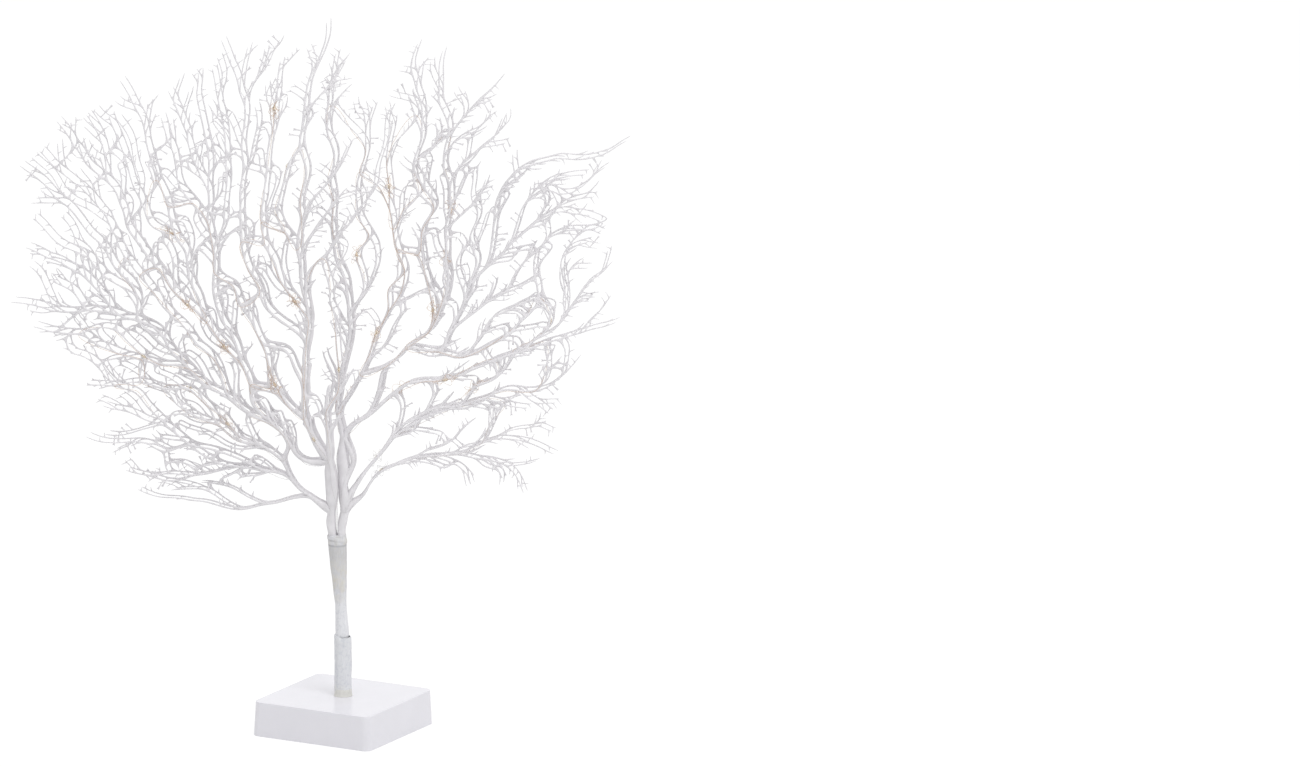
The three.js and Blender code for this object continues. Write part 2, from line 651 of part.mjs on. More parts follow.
const LEFT_BOUGHS = [
  { girth: [1.5, 2.5], route: [inWrap(STEM_SUNK, -2.2), inWrap(STEM_SUNK / 2, -2.7), [-3.3, 0], [-4.6, 20]] },
  { girth: [2.6, 2.3], route: [[-4.6, 20], [-4, 40], [-6.5, 66]] },
  { girth: [2.1, 0.6], route: [[-6.5, 66], [-23, 96], [-27, 120], [-23, 174], [-29, 244], [-26, 314],
    [-29, 364], [-17, 404], [-7, 434]] },
  { girth: [2, 0.6], route: [[-19, 84], [-43, 130], [-47, 174], [-39, 219], [-49, 268], [-43, 314],
    [-47, 364], [-51, 426]] },
  { girth: [1.8, 0.6], route: [[-5, 54], [-22, 65], [-43, 86], [-65, 109], [-79, 152], [-99, 206],
    [-103, 264], [-107, 334], [-115, 396]] },
  { girth: [1.6, 0.55], route: [[-55, 96], [-87, 118], [-133, 160], [-175, 196], [-227, 200],
    [-266, 207]] },
  { girth: [1.6, 0.55], route: [[-4.6, 20], [-25, 37], [-38, 52], [-55, 77], [-87, 86], [-111, 122],
    [-145, 132], [-203, 136]] },
  { girth: [1.3, 0.5], route: [[-39, 50], [-75, 58], [-109, 70], [-143, 102], [-173, 134],
    [-220, 164]] },
  { girth: [1.1, 0.5], route: [[-57, 54], [-107, 74], [-140, 74], [-170, 84], [-205, 88]] },
  { girth: [1.2, 0.5], route: [[-19, 36], [-43, 33], [-73, 21], [-100, 28], [-133, 30], [-163, 40]] },
  { girth: [1.3, 0.55], route: [[-79, 152], [-107, 186], [-123, 244], [-145, 304], [-155, 344],
    [-179, 386]] },
  { girth: [1.3, 0.55], route: [[-107, 186], [-145, 230], [-171, 274], [-200, 320], [-229, 354]] },
  { girth: [1.2, 0.55], route: [[-133, 160], [-165, 214], [-201, 264], [-233, 296], [-259, 320]] },
  { girth: [1.2, 0.55], route: [[-47, 174], [-67, 224], [-79, 274], [-75, 334], [-79, 379],
    [-95, 420]] },
  { girth: [1.1, 0.55], route: [[-175, 196], [-210, 229], [-255, 252]] },
  { girth: [1.6, 1.5], stub: true, route: [[-6.5, 66], [-6.4, 96], [-6, 130]] },
];

const RIGHT_BOUGHS = [
  { girth: [1.5, 2.4], route: [inWrap(STEM_SUNK, 1.4), inWrap(STEM_SUNK / 2, 2.9), [3, 0], [5.4, 20]] },
  { girth: [2.4, 2.1], route: [[5.4, 20], [5.6, 36], [2.8, 56], [2.6, 79]] },
  { girth: [1.9, 0.6], route: [[2.6, 79], [2.2, 124], [9, 179], [5, 219], [-5, 270], [-3, 314],
    [-9, 354], [-1, 406]] },
  { girth: [1.8, 0.6], route: [[1, 124], [15, 174], [31, 219], [19, 264], [25, 324], [27, 359],
    [45, 389], [47, 406]] },
  { girth: [1.9, 0.6], route: [[5, 42], [14, 60], [12, 74], [19, 92], [31, 112], [47, 146], [69, 164],
    [87, 202], [90, 244], [93, 291], [89, 324], [103, 354], [134, 384]] },
  { girth: [1.7, 0.55], route: [[19, 96], [48, 123], [95, 132], [135, 146], [183, 177], [203, 206],
    [223, 220]] },
  { girth: [1.6, 0.55], route: [[7, 26], [29, 60], [60, 96], [93, 106], [135, 118], [170, 124],
    [195, 146]] },
  { girth: [1.3, 0.5], route: [[5.4, 20], [18.5, 26], [23, 35], [33, 50], [51, 60], [97, 66], [137, 80],
    [181, 66]] },
  { girth: [1.4, 0.55], route: [[46, 79], [85, 110], [133, 132], [159, 154], [185, 162], [228, 177]] },
  { girth: [1.5, 0.55], route: [[62, 156], [83, 152], [99, 185], [123, 230], [134, 283], [155, 310],
    [210, 316], [240, 330]] },
  { girth: [1.4, 0.55], route: [[83, 149], [109, 152], [146, 171], [165, 196], [159, 228], [183, 249],
    [221, 256]] },
  { girth: [1.3, 0.55], route: [[87, 198], [65, 234], [77, 274], [65, 314], [71, 354], [59, 394],
    [67, 416]] },
  { girth: [1.1, 0.55], route: [[65, 304], [83, 334], [81, 374], [85, 406]] },
  { girth: [1.1, 0.5], route: [[123, 230], [155, 254], [181, 274], [211, 282]] },
  { girth: [1, 0.5], route: [[105, 64], [135, 58], [155, 36]] },
];

// Reach of the crown from its middle: degrees round from +X, then millimetres
const CROWN_OUTLINE = [
  [0, 238], [12, 243], [27, 262], [38, 200], [51, 230], [60, 205], [68, 226], [78, 190], [90, 232],
  [112, 230], [128, 228], [138, 254], [150, 276], [165, 254], [184, 250], [200, 212], [212, 226],
  [227, 234], [244, 208], [262, 176], [282, 176], [297, 190], [314, 238], [341, 213],
];

// How boughs, side twigs and cross bars grow: lengths in mm, turns in radians
const BOUGH_GROWTH = { step: BOUGH_STEP, shake: 5, shakeFrom: 20, joinGap: 9 };
const TWIG_GROWTH = {
  step: TWIG_STEP, maxSteps: 14, swings: [0, 0.3, -0.3, 0.6, -0.6], stiff: 8, pull: 0.18, wander: 0.5,
  joinGap: 9.5, closeGap: 11, gap: 17, startGap: 13, startReach: 1.15, share: 0.75, bareReach: 62,
  forkTurn: 0.62, forkWander: 0.3, forkGirth: 0.75, thin: 0.93, leastGirth: 0.5, reach: [0.88, 0.98],
};
const CROSS_LINKS = { least: 9, most: 27, share: 0.3, room: 6.5, hops: 5, slope: 0.75 };
const TWIG_ROUNDS = 2;
const DROOP_FROM = 145;
const FORK_ROOM = { ofGirth: 1.25, least: 0.6 };
const FLANK_REACH = { ofTwig: 0.4, ofGirth: 3 };

// The underside of each half of the crown runs level from the trunk and then droops or lifts
const MOULDINGS = {
  left: { boughs: LEFT_BOUGHS, seed: 11, hand: -1, inner: 11, floor: 12, slope: 0.2 },
  right: { boughs: RIGHT_BOUGHS, seed: 23, hand: 1, inner: 17, floor: 10, slope: 0.3 },
};
for (const moulding of Object.values(MOULDINGS)) {
  moulding.root = { x: 2 + 3 * moulding.hand, z: 24 };
}

function onItsSide(moulding, x, z) {
  const out = x * moulding.hand;
  return out > -moulding.inner && z > moulding.floor + Math.max(0, out - DROOP_FROM) * moulding.slope;
}

function seededRandom(seed) {
  let state = seed;
  return () => {
    state = (state * 16807) % 2147483647;
    return state / 2147483647;
  };
}

const flatDistance = (a, b) => Math.hypot(a.x - b.x, a.z - b.z);
const sideOf = (a, b, c) => (b.x - a.x) * (c.z - a.z) - (b.z - a.z) * (c.x - a.x);
const shortTurn = (turn) => Math.atan2(Math.sin(turn), Math.cos(turn));
const headingTo = (a, b) => Math.atan2(b.z - a.z, b.x - a.x);

function addKnot(net, x, z, girth) {
  net.push({ x, z, girth, links: [] });
  return net.length - 1;
}

function linkKnots(net, a, b) {
  net[a].links.push(b);
  net[b].links.push(a);
}

// The near end of the first twig that a straight way from one knot would cross, or -1
function crossedTwig(net, from, goal) {
  const a = net[from];
  let found = -1;
  let nearest = Infinity;
  for (let i = 0; i < net.length; i++) {
    const c = net[i];
    if (c === a || c === goal) continue;
    for (const j of c.links) {
      const d = net[j];
      if (j < i || d === a || d === goal) continue;
      if (sideOf(a, goal, c) * sideOf(a, goal, d) >= 0 || sideOf(c, d, a) * sideOf(c, d, goal) >= 0) continue;
      const end = flatDistance(c, a) < flatDistance(d, a) ? i : j;
      if (flatDistance(net[end], a) < nearest) {
        nearest = flatDistance(net[end], a);
        found = end;
      }
    }
  }
  return found;
}

// Two twigs from one knot need an angle that keeps their flanks apart at the far end
function tooSharp(net, from, goal, girth) {
  return net[from].links.some((n) => {
    const other = net[n];
    if (other === goal) return true;
    const turn = Math.abs(shortTurn(headingTo(net[from], other) - headingTo(net[from], goal)));
    const reach = Math.min(flatDistance(net[from], other), flatDistance(net[from], goal));
    return 2 * reach * Math.sin(turn / 2) < FORK_ROOM.ofGirth * (other.girth + girth) + FORK_ROOM.least;
  });
}

function distanceToTwig(p, a, b) {
  const dx = b.x - a.x;
  const dz = b.z - a.z;
  const share = ((p.x - a.x) * dx + (p.z - a.z) * dz) / (dx * dx + dz * dz);
  const t = Math.max(0, Math.min(1, share));
  return Math.hypot(a.x + dx * t - p.x, a.z + dz * t - p.z);
}

function roomAt(net, p, except) {
  let room = 1000;
  for (let i = 0; i < net.length; i++) {
    if (except.includes(i)) continue;
    for (const j of net[i].links) {
      if (j < i || except.includes(j)) continue;
      room = Math.min(room, distanceToTwig(p, net[i], net[j]));
    }
  }
  return room;
}

function nearestKnot(net, p, except) {
  let found = -1;
  let nearest = Infinity;
  for (let i = 0; i < net.length; i++) {
    const distance = flatDistance(net[i], p);
    if (distance < nearest && !except.includes(i)) {
      nearest = distance;
      found = i;
    }
  }
  return { knot: found, distance: nearest };
}

function joinKnots(net, from, goal) {
  const crossed = crossedTwig(net, from, net[goal]);
  const end = crossed < 0 ? goal : crossed;
  if (crossed >= 0 && crossedTwig(net, from, net[end]) >= 0) return -1;
  if (tooSharp(net, from, net[end], net[end].girth)) return -1;
  if (tooSharp(net, end, net[from], net[from].girth)) return -1;
  linkKnots(net, from, end);
  return end;
}

// One step of a bough: on to a fresh knot, or into the one that stands in its way
function stepTo(net, from, x, z, girth, joinGap) {
  const near = nearestKnot(net, { x, z }, [from, ...net[from].links]);
  if (near.distance < joinGap) return { knot: joinKnots(net, from, near.knot), joined: true };
  const crossed = crossedTwig(net, from, { x, z });
  if (crossed >= 0) return { knot: joinKnots(net, from, crossed), joined: true };
  if (tooSharp(net, from, { x, z }, girth)) return { knot: -1, joined: true };
  const knot = addKnot(net, x, z, girth);
  linkKnots(net, from, knot);
  return { knot, joined: false };
}

function growBough(net, bough, growth, random) {
  const line = new THREE.CatmullRomCurve3(bough.route.map(([x, z]) => new THREE.Vector3(x, 0, z)));
  const steps = Math.max(1, Math.round(line.getLength() / growth.step));
  const start = { x: bough.route[0][0], z: bough.route[0][1] };
  let at = net.length ? nearestKnot(net, start, []).knot : addKnot(net, start.x, start.z, bough.girth[0]);
  for (let n = 1; n <= steps; n++) {
    const point = line.getPointAt(n / steps);
    const girth = bough.girth[0] + (bough.girth[1] - bough.girth[0]) * n / steps;
    const shake = point.z > growth.shakeFrom ? growth.shake : 0;
    const x = point.x + (random() - 0.5) * shake;
    const z = point.z + (random() - 0.5) * shake;
    if (Math.hypot(x - net[at].x, z - net[at].z) < growth.step * 0.5) continue;
    const stepped = stepTo(net, at, x, z, girth, growth.joinGap);
    if (stepped.knot >= 0) at = stepped.knot;
  }
  if (bough.stub) net[at].cut = true;
}

function outlineReach(turn) {
  const degrees = ((turn / RADIANS) % 360 + 360) % 360;
  const after = CROWN_OUTLINE.findIndex(([angle]) => angle > degrees);
  const [a1, r1] = after < 0 ? [360, CROWN_OUTLINE[0][1]] : CROWN_OUTLINE[after];
  const [a0, r0] = CROWN_OUTLINE.at(after < 0 ? -1 : after - 1);
  return r0 + (r1 - r0) * (0.5 - 0.5 * Math.cos(Math.PI * (degrees - a0) / (a1 - a0)));
}

function insideCrown(x, z, moulding, share) {
  const reach = outlineReach(Math.atan2(z - CROWN_Z, x - CROWN_X));
  return Math.hypot(x - CROWN_X, z - CROWN_Z) < reach * share && onItsSide(moulding, x, z);
}

function growTwig(net, start, heading, girth, moulding, growth, random) {
  let at = start;
  let turn = heading;
  let width = girth;
  const [least, most] = growth.reach;
  const share = least + (most - least) * random();
  for (let n = 0; n < growth.maxSteps; n++) {
    const here = net[at];
    const outward = shortTurn(headingTo(moulding.root, here) - turn);
    turn += outward * growth.pull + (random() - 0.5) * growth.wander;
    let best = null;
    for (const swing of growth.swings) {
      const x = here.x + Math.cos(turn + swing) * growth.step;
      const z = here.z + Math.sin(turn + swing) * growth.step;
      const room = Math.min(growth.gap, roomAt(net, { x, z }, [at, ...here.links]));
      const score = room - Math.abs(swing) * growth.stiff;
      if (best === null || score > best.score) best = { x, z, score, swing, room };
    }
    turn += best.swing;
    if (!insideCrown(best.x, best.z, moulding, share)) break;
    const joinGap = best.room < growth.closeGap ? growth.step * 0.9 : growth.joinGap;
    const stepped = stepTo(net, at, best.x, best.z, width, joinGap);
    if (stepped.joined) break;
    at = stepped.knot;
    width = Math.max(growth.leastGirth, width * growth.thin);
  }
}

// A side twig leaves each plain knot that has room beside it, left and right by turns
function growSideTwigs(net, moulding, growth, random) {
  const count = net.length;
  let hand = 1;
  for (let i = 0; i < count; i++) {
    const knot = net[i];
    if (knot.links.length !== 2 || random() > growth.share) continue;
    if (flatDistance(knot, moulding.root) < growth.bareReach) continue;
    const [a, b] = knot.links.map((n) => net[n]);
    const outward = flatDistance(a, moulding.root) < flatDistance(b, moulding.root);
    const along = outward ? headingTo(a, b) : headingTo(b, a);
    hand = -hand;
    for (const side of [hand, -hand]) {
      const heading = along + side * (growth.forkTurn + (random() - 0.5) * growth.forkWander);
      const x = knot.x + Math.cos(heading) * growth.step * growth.startReach;
      const z = knot.z + Math.sin(heading) * growth.step * growth.startReach;
      if (roomAt(net, { x, z }, [i, ...knot.links]) < growth.startGap) continue;
      if (!insideCrown(x, z, moulding, 0.95)) continue;
      const girth = Math.max(growth.leastGirth, knot.girth * growth.forkGirth);
      growTwig(net, i, heading, girth, moulding, growth, random);
      break;
    }
  }
}

function withinHops(net, from, goal, hops) {
  let edge = [from];
  const seen = new Set(edge);
  for (let n = 0; n < hops; n++) {
    edge = edge.flatMap((i) => net[i].links).filter((i) => !seen.has(i));
    edge.forEach((i) => seen.add(i));
    if (seen.has(goal)) return true;
  }
  return false;
}

// Short bars between neighbouring boughs close the net's long cells
function addCrossLinks(net, moulding, links, random) {
  for (let i = 0; i < net.length; i++) {
    if (random() > links.share || net[i].links.length !== 2) continue;
    if (flatDistance(net[i], moulding.root) < TWIG_GROWTH.bareReach) continue;
    for (let j = i + 1; j < net.length; j++) {
      const distance = flatDistance(net[i], net[j]);
      if (distance < links.least || distance > links.most || net[j].links.length !== 2) continue;
      const outward = headingTo(moulding.root, net[i]);
      if (Math.abs(Math.cos(headingTo(net[i], net[j]) - outward)) > links.slope) continue;
      if (withinHops(net, i, j, links.hops)) continue;
      const middle = { x: (net[i].x + net[j].x) / 2, z: (net[i].z + net[j].z) / 2 };
      const except = [i, j, ...net[i].links, ...net[j].links];
      if (nearestKnot(net, middle, [i, j]).distance < links.room) continue;
      if (roomAt(net, middle, except) < links.room) continue;
      if (crossedTwig(net, i, net[j]) >= 0) continue;
      if (tooSharp(net, i, net[j], net[j].girth) || tooSharp(net, j, net[i], net[i].girth)) continue;
      linkKnots(net, i, j);
      break;
    }
  }
}

function growNet(moulding) {
  const random = seededRandom(moulding.seed);
  const net = [];
  moulding.boughs.forEach((bough) => growBough(net, bough, BOUGH_GROWTH, random));
  for (let n = 0; n < TWIG_ROUNDS; n++) growSideTwigs(net, moulding, TWIG_GROWTH, random);
  addCrossLinks(net, moulding, CROSS_LINKS, random);
  return net;
}

// Above the wrap the stems are broader than they are thick
const breadthOf = (knot) => (knot.z > STEM_BROAD_FROM && knot.girth > STEM_GIRTH ? STEM_BREADTH : 1);

// The skin of a net: a ridge in front and behind each knot, and one flank point between each pair of
// neighbouring twigs, so that every twig is a four-sided tube that shares its ends with the others
function netGeometry(net, place) {
  const points = [];
  const add = (x, z, y) => points.push(place(x, z, y)) - 1;
  const rings = net.map((knot) => {
    const links = [...knot.links].sort((i, j) => headingTo(knot, net[i]) - headingTo(knot, net[j]));
    if (links.length === 1 && !knot.cut && knot !== net[0]) {
      const back = headingTo(knot, net[links[0]]);
      const tip = add(knot.x - Math.cos(back) * TIP_REACH, knot.z - Math.sin(back) * TIP_REACH, 0);
      return { links, front: tip, back: tip, flanks: [tip] };
    }
    const ring = { links, front: add(knot.x, knot.z, -knot.girth), back: add(knot.x, knot.z, knot.girth) };
    if (links.length === 1) {
      const turn = headingTo(knot, net[links[0]]) + Math.PI / 2;
      const flank = (side) => add(
        knot.x + side * Math.cos(turn) * knot.girth, knot.z + side * Math.sin(turn) * knot.girth, 0,
      );
      ring.ends = [flank(1), flank(-1)];
      return ring;
    }
    ring.flanks = links.map((link, n) => {
      const next = links[(n + 1) % links.length];
      const start = headingTo(knot, net[link]);
      const open = (headingTo(knot, net[next]) - start + 4 * Math.PI) % (2 * Math.PI);
      const shortest = Math.min(flatDistance(knot, net[link]), flatDistance(knot, net[next]));
      const half = knot.girth * breadthOf(knot);
      const miter = open < Math.PI ? half / Math.sin(open / 2) : half;
      const reach = Math.min(miter, FLANK_REACH.ofTwig * shortest, FLANK_REACH.ofGirth * knot.girth);
      return add(knot.x + Math.cos(start + open / 2) * reach, knot.z + Math.sin(start + open / 2) * reach, 0);
    });
    return ring;
  });
  const faces = [];
  const quad = (a, b, c, d) => {
    if (a !== b && b !== c && a !== c) faces.push([a, b, c]);
    if (a !== c && c !== d && a !== d) faces.push([a, c, d]);
  };
  const flanksOf = (ring, link) => {
    if (ring.ends) return ring.ends;
    const n = ring.links.indexOf(link);
    return [ring.flanks[n], ring.flanks[(n + ring.flanks.length - 1) % ring.flanks.length]];
  };
  net.forEach((knot, i) => knot.links.filter((j) => j > i).forEach((j) => {
    const here = rings[i];
    const there = rings[j];
    const [left, right] = flanksOf(here, j);
    const [farRight, farLeft] = flanksOf(there, i);
    quad(here.front, there.front, farLeft, left);
    quad(left, farLeft, there.back, here.back);
    quad(here.back, there.back, farRight, right);
    quad(right, farRight, there.front, here.front);
  }));
  rings.filter((ring) => ring.ends).forEach((ring) => {
    const [left, right] = ring.ends;
    quad(ring.front, left, ring.back, right);
  });
  return meshFrom(points, faces);
}

// Where a copy of a moulding stands: side by side in the trunk, then parted and gently bent in depth
const smooth = (share) => {
  const t = Math.max(0, Math.min(1, share));
  return t * t * (3 - 2 * t);
};

// The rear copy of a moulding stands a little aside of the front one, but not in the trunk
const fanAside = (x, z, fan) => fan.shift * smooth((Math.hypot(x - CROWN_X, z) - SHIFT_START) / SHIFT_RISE);

function fanDepth(x, z, fan) {
  const dx = x - CROWN_X;
  const far = smooth((Math.hypot(dx, z) - BEND_START) / BEND_RISE);
  const turn = Math.atan2(z, dx);
  const bend = FAN_BEND * Math.sin(1.7 * turn + 0.6) + FAN_RIPPLE * Math.sin(3.1 * turn + 0.02 * z);
  const rise = smooth((z + STEM_SUNK) / (STEM_SUNK - 6));
  const bundled = fan.side * (STEM_START_SPREAD + (STEM_SPREAD - STEM_START_SPREAD) * rise);
  const parted = fan.level + fan.side * FAN_FLARE * far / 2;
  const share = smooth((z - 6) / PART_RISE);
  return bundled + (parted - bundled) * share + bend * far;
}

const FANS = {
  fan_left_front: { moulding: 'left', side: -1, level: -FAN_PARTING - FAN_STEP, shift: 0 },
  fan_left_rear: { moulding: 'left', side: 1, level: -FAN_PARTING, shift: FAN_SHIFT },
  fan_right_front: { moulding: 'right', side: -1, level: FAN_PARTING, shift: 0 },
  fan_right_rear: { moulding: 'right', side: 1, level: FAN_PARTING + FAN_STEP, shift: FAN_SHIFT },
};

const placeOn = (fan) => (x, z, y) => [x + fanAside(x, z, fan), fanDepth(x, z, fan) + y, z];

// Light strings: where each one comes onto its net, and the places of its lamps in order

const STRINGS = {
  left: {
    start: [-8, 40],
    stops: [[-2, 99], [-7, 139], [-45, 191], [-50, 137], [-79, 152], [-91, 97], [-118, 128], [-167, 159],
      [-120, 197], [-131, 257], [-25, 339], [-4, 366]],
  },
  right: {
    start: [5, 40],
    stops: [[30, 54], [60, 82], [90, 100], [109, 128], [164, 173], [97, 232], [95, 290], [54, 288], [11, 245],
      [29, 180], [76, 196], [78, 136]],
  },
};
const REUSE = { cost: 60, ofLamp: 20 };
const LAMP_LAYERS = Math.ceil((2 * BEAD_RADIUS + GAP) / WIRE_LAYER);

// The shortest way over the net from one knot to another, best over twigs with no wire on them yet;
// it doesn't go through the barred knot
function wayOver(net, from, goal, barred, used) {
  const cost = net.map(() => Infinity);
  const before = net.map(() => -1);
  const open = new Set([from]);
  cost[from] = 0;
  while (open.size) {
    const at = [...open].reduce((a, b) => (cost[b] < cost[a] ? b : a));
    open.delete(at);
    if (at === goal) break;
    for (const next of net[at].links) {
      if (next === barred) continue;
      const worn = (used.get(next) ?? 0) * REUSE.cost;
      const total = cost[at] + flatDistance(net[at], net[next]) + worn;
      if (total < cost[next]) {
        cost[next] = total;
        before[next] = at;
        open.add(next);
      }
    }
  }
  const way = [];
  for (let at = goal; at !== from; at = before[at]) way.unshift(at);
  return way;
}

function joined(net, from, goal, barred) {
  const seen = new Set([from]);
  for (const at of seen) net[at].links.filter((next) => next !== barred).forEach((next) => seen.add(next));
  return seen.has(goal);
}

// A lamp sits on a plain knot of a closed cell, where the wire can always run on past it
const fitForLamp = (net, i) => net[i].links.length === 2 && joined(net, ...net[i].links, i);

// The knots that a string passes, from its first one through all its lamps
function stringWay(net, string) {
  const used = new Map();
  const taken = net.map((knot, i) => i).filter((i) => !fitForLamp(net, i));
  const [startX, startZ] = string.start;
  let at = nearestKnot(net, { x: startX, z: startZ }, []).knot;
  const way = [{ knot: at, lamp: false }];
  for (const [x, z] of string.stops) {
    const goal = nearestKnot(net, { x, z }, [...taken, at]).knot;
    const last = way.length > 1 ? way[way.length - 2].knot : -1;
    taken.push(goal, ...net[goal].links);
    for (const knot of wayOver(net, at, goal, last, used)) {
      used.set(knot, (used.get(knot) ?? 0) + (knot === goal ? REUSE.ofLamp : 1));
      way.push({ knot, lamp: knot === goal });
    }
    at = goal;
  }
  return way;
}

// The wire winds round the boughs by quarter turns and goes over the forks in front or behind; where
// it passes a knot again it lies one layer further out, and over a lamp clear of its bead
function windString(net, way, place) {
  const path = [];
  const lamps = [];
  const passes = new Map();
  let quarter = 0;
  way.forEach(({ knot, lamp }, n) => {
    const here = net[knot];
    const back = net[way[Math.max(0, n - 1)].knot];
    const ahead = net[way[Math.min(way.length - 1, n + 1)].knot];
    const pass = passes.get(knot) ?? 0;
    passes.set(knot, pass + (lamp ? LAMP_LAYERS : 1));
    const along = back === ahead ? headingTo(here, back) : headingTo(back, ahead);
    const inFront = here.links.length > 2 || lamp || n === 0 || pass > 0;
    if (quarter % 2 === 1 || !inFront) quarter += 1;
    const turn = (quarter % 4) * Math.PI / 2;
    const off = here.girth + (lamp ? BEAD_RADIUS + GAP : WIRE_RADIUS + WIRE_GAP) + pass * WIRE_LAYER;
    const beside = off + here.girth * (breadthOf(here) - 1);
    const x = here.x - Math.sin(along) * Math.sin(turn) * beside;
    const z = here.z + Math.cos(along) * Math.sin(turn) * beside;
    const y = -Math.cos(turn) * off;
    const pointAt = (s) => new THREE.Vector3(...place(x + Math.cos(along) * s, z + Math.sin(along) * s, y));
    if (!lamp) {
      path.push(pointAt(0));
      return;
    }
    const reach = BEAD_LENGTH / 2 + 1;
    const [before, after] = [pointAt(-reach), pointAt(reach)];
    path.push(before, after);
    lamps.push({
      middle: before.clone().add(after).multiplyScalar(0.5),
      along: after.clone().sub(before).normalize(),
    });
  });
  return { path, lamps };
}

// The least gap between stretches of a wire that are more than a step apart along it
function leastGap(path, step) {
  const points = [];
  for (let n = 0; n + 1 < path.length; n++) {
    const count = Math.ceil(path[n].distanceTo(path[n + 1]));
    for (let k = 0; k < count; k++) points.push(path[n].clone().lerp(path[n + 1], k / count));
  }
  let least = Infinity;
  points.forEach((p, i) => {
    for (let j = i + step; j < points.length; j++) least = Math.min(least, p.distanceTo(points[j]));
  });
  return least - 2 * WIRE_RADIUS;
}

function lampBead() {
  const half = BEAD_LENGTH / 2;
  return turned([
    [BEAD_BORE, -half], [BEAD_RADIUS * 0.8, -half], [BEAD_RADIUS, half * 0.2], [BEAD_BORE, half],
    [BEAD_BORE, -half],
  ], 6);
}

// Assembly

function material(color, roughness, metalness = 0) {
  return new THREE.MeshStandardMaterial({ color, roughness, metalness });
}

const whitePlastic = material('#ececf0', 0.38);
const coralPlastic = material('#dcdbde', 0.55);
const tapeCloth = material('#d8d7d6', 0.8);
const driedGlue = material('#e0dccb', 0.6);
const greySteel = material('#a9abae', 0.35, 1);
const nickelStrip = material('#c3c1ba', 0.3, 1);
const blackPlastic = material('#2b2b2d', 0.5);
const boardGreen = material('#2e6b45', 0.55);
const cellSleeve = material('#5d6f86', 0.35);
const copperWire = material('#b9794a', 0.35, 1);
const leadCover = material('#e8e6e0', 0.5);
const redCover = material('#a8322d', 0.5);
const lampResin = material('#f3e7c4', 0.2);

const group = new THREE.Group();

function addPiece(parent, name, geometry, finish, place = [0, 0, 0], turn = [0, 0, 0]) {
  const mesh = new THREE.Mesh(geometry, finish);
  mesh.name = name;
  mesh.position.set(...place);
  mesh.rotation.set(...turn);
  parent.add(mesh);
  return mesh;
}

function addBase() {
  addPiece(group, 'base_shell', baseShell(), whitePlastic);
  addPiece(group, 'floor_plate', floorPlate(), whitePlastic);
  screwPlaces.forEach(([x, y], n) => {
    addPiece(group, `floor_screw_${n + 1}`, floorScrew(), greySteel, [x, y, 0]);
  });
  addPiece(group, 'battery_door', batteryDoor(), whitePlastic);
  addPiece(group, 'door_screw', doorScrew(), greySteel, [doorScrewX, doorHole.middle, 0]);
  addPiece(group, 'switch_body', switchBody(), greySteel);
  addPiece(group, 'switch_slider', switchSlider(), blackPlastic, [SWITCH_X, SWITCH_Y, 0]);
  addPiece(group, 'circuit_board', circuitBoard(), boardGreen);
}

function addCells() {
  const minusEnd = caseInside.x - GAP - PLATE_THICK - SPRING_ROOM;
  for (let n = 0; n < CELL_COUNT; n++) {
    const side = contactSide(n);
    const turn = side < 0 ? 0 : Math.PI;
    const place = [side * minusEnd, cellAxisY(n), cellAxisZ];
    addPiece(group, `cell_${n + 1}`, batteryCell(), cellSleeve, place, [0, 0, turn]);
  }
  for (let n = 0; n <= CELL_COUNT; n++) {
    let name = `contact_bridge_${n}`;
    if (n === 0) name = 'contact_plate_minus';
    if (n === CELL_COUNT) name = 'contact_plate_plus';
    addPiece(group, name, contactPlate(n), nickelStrip);
  }
}

function addTrunk(turnedTrunk) {
  addPiece(group, 'lower_trunk_tube', lowerTube(), greySteel);
  addPiece(group, 'lower_tape_wrap', lowerTape(), tapeCloth);
  addPiece(group, 'glue_ring', glueRing(), driedGlue);
  const leaning = new THREE.Group();
  leaning.position.set(0, 0, pivotZ);
  leaning.rotation.set(0, -TRUNK_LEAN * RADIANS, 0);
  turnedTrunk.add(leaning);
  addPiece(leaning, 'core_rod', coreRod(), greySteel);
  addPiece(leaning, 'upper_tape_wrap', upperTape(), tapeCloth);
  addPiece(leaning, 'binding_band', bindingBand(), tapeCloth);
}

// From the top of the rod a string rises between the stems and comes forward onto the front moulding
function stringRise(hand) {
  const between = SLIT_X + hand * STRINGS_APART / 2;
  const depth = STEM_SUNK + STEM_ROD_GAP - 4;
  const [lowX, lowZ] = inWrap(depth, between);
  const [midX, midZ] = inWrap(depth / 2, between);
  const points = [
    [lowX, 0, lowZ], [midX, 0, midZ], [between, 0, 3], [between, -2, 16], [between, -9.5, 27],
  ];
  return points.map((p) => new THREE.Vector3(...p));
}

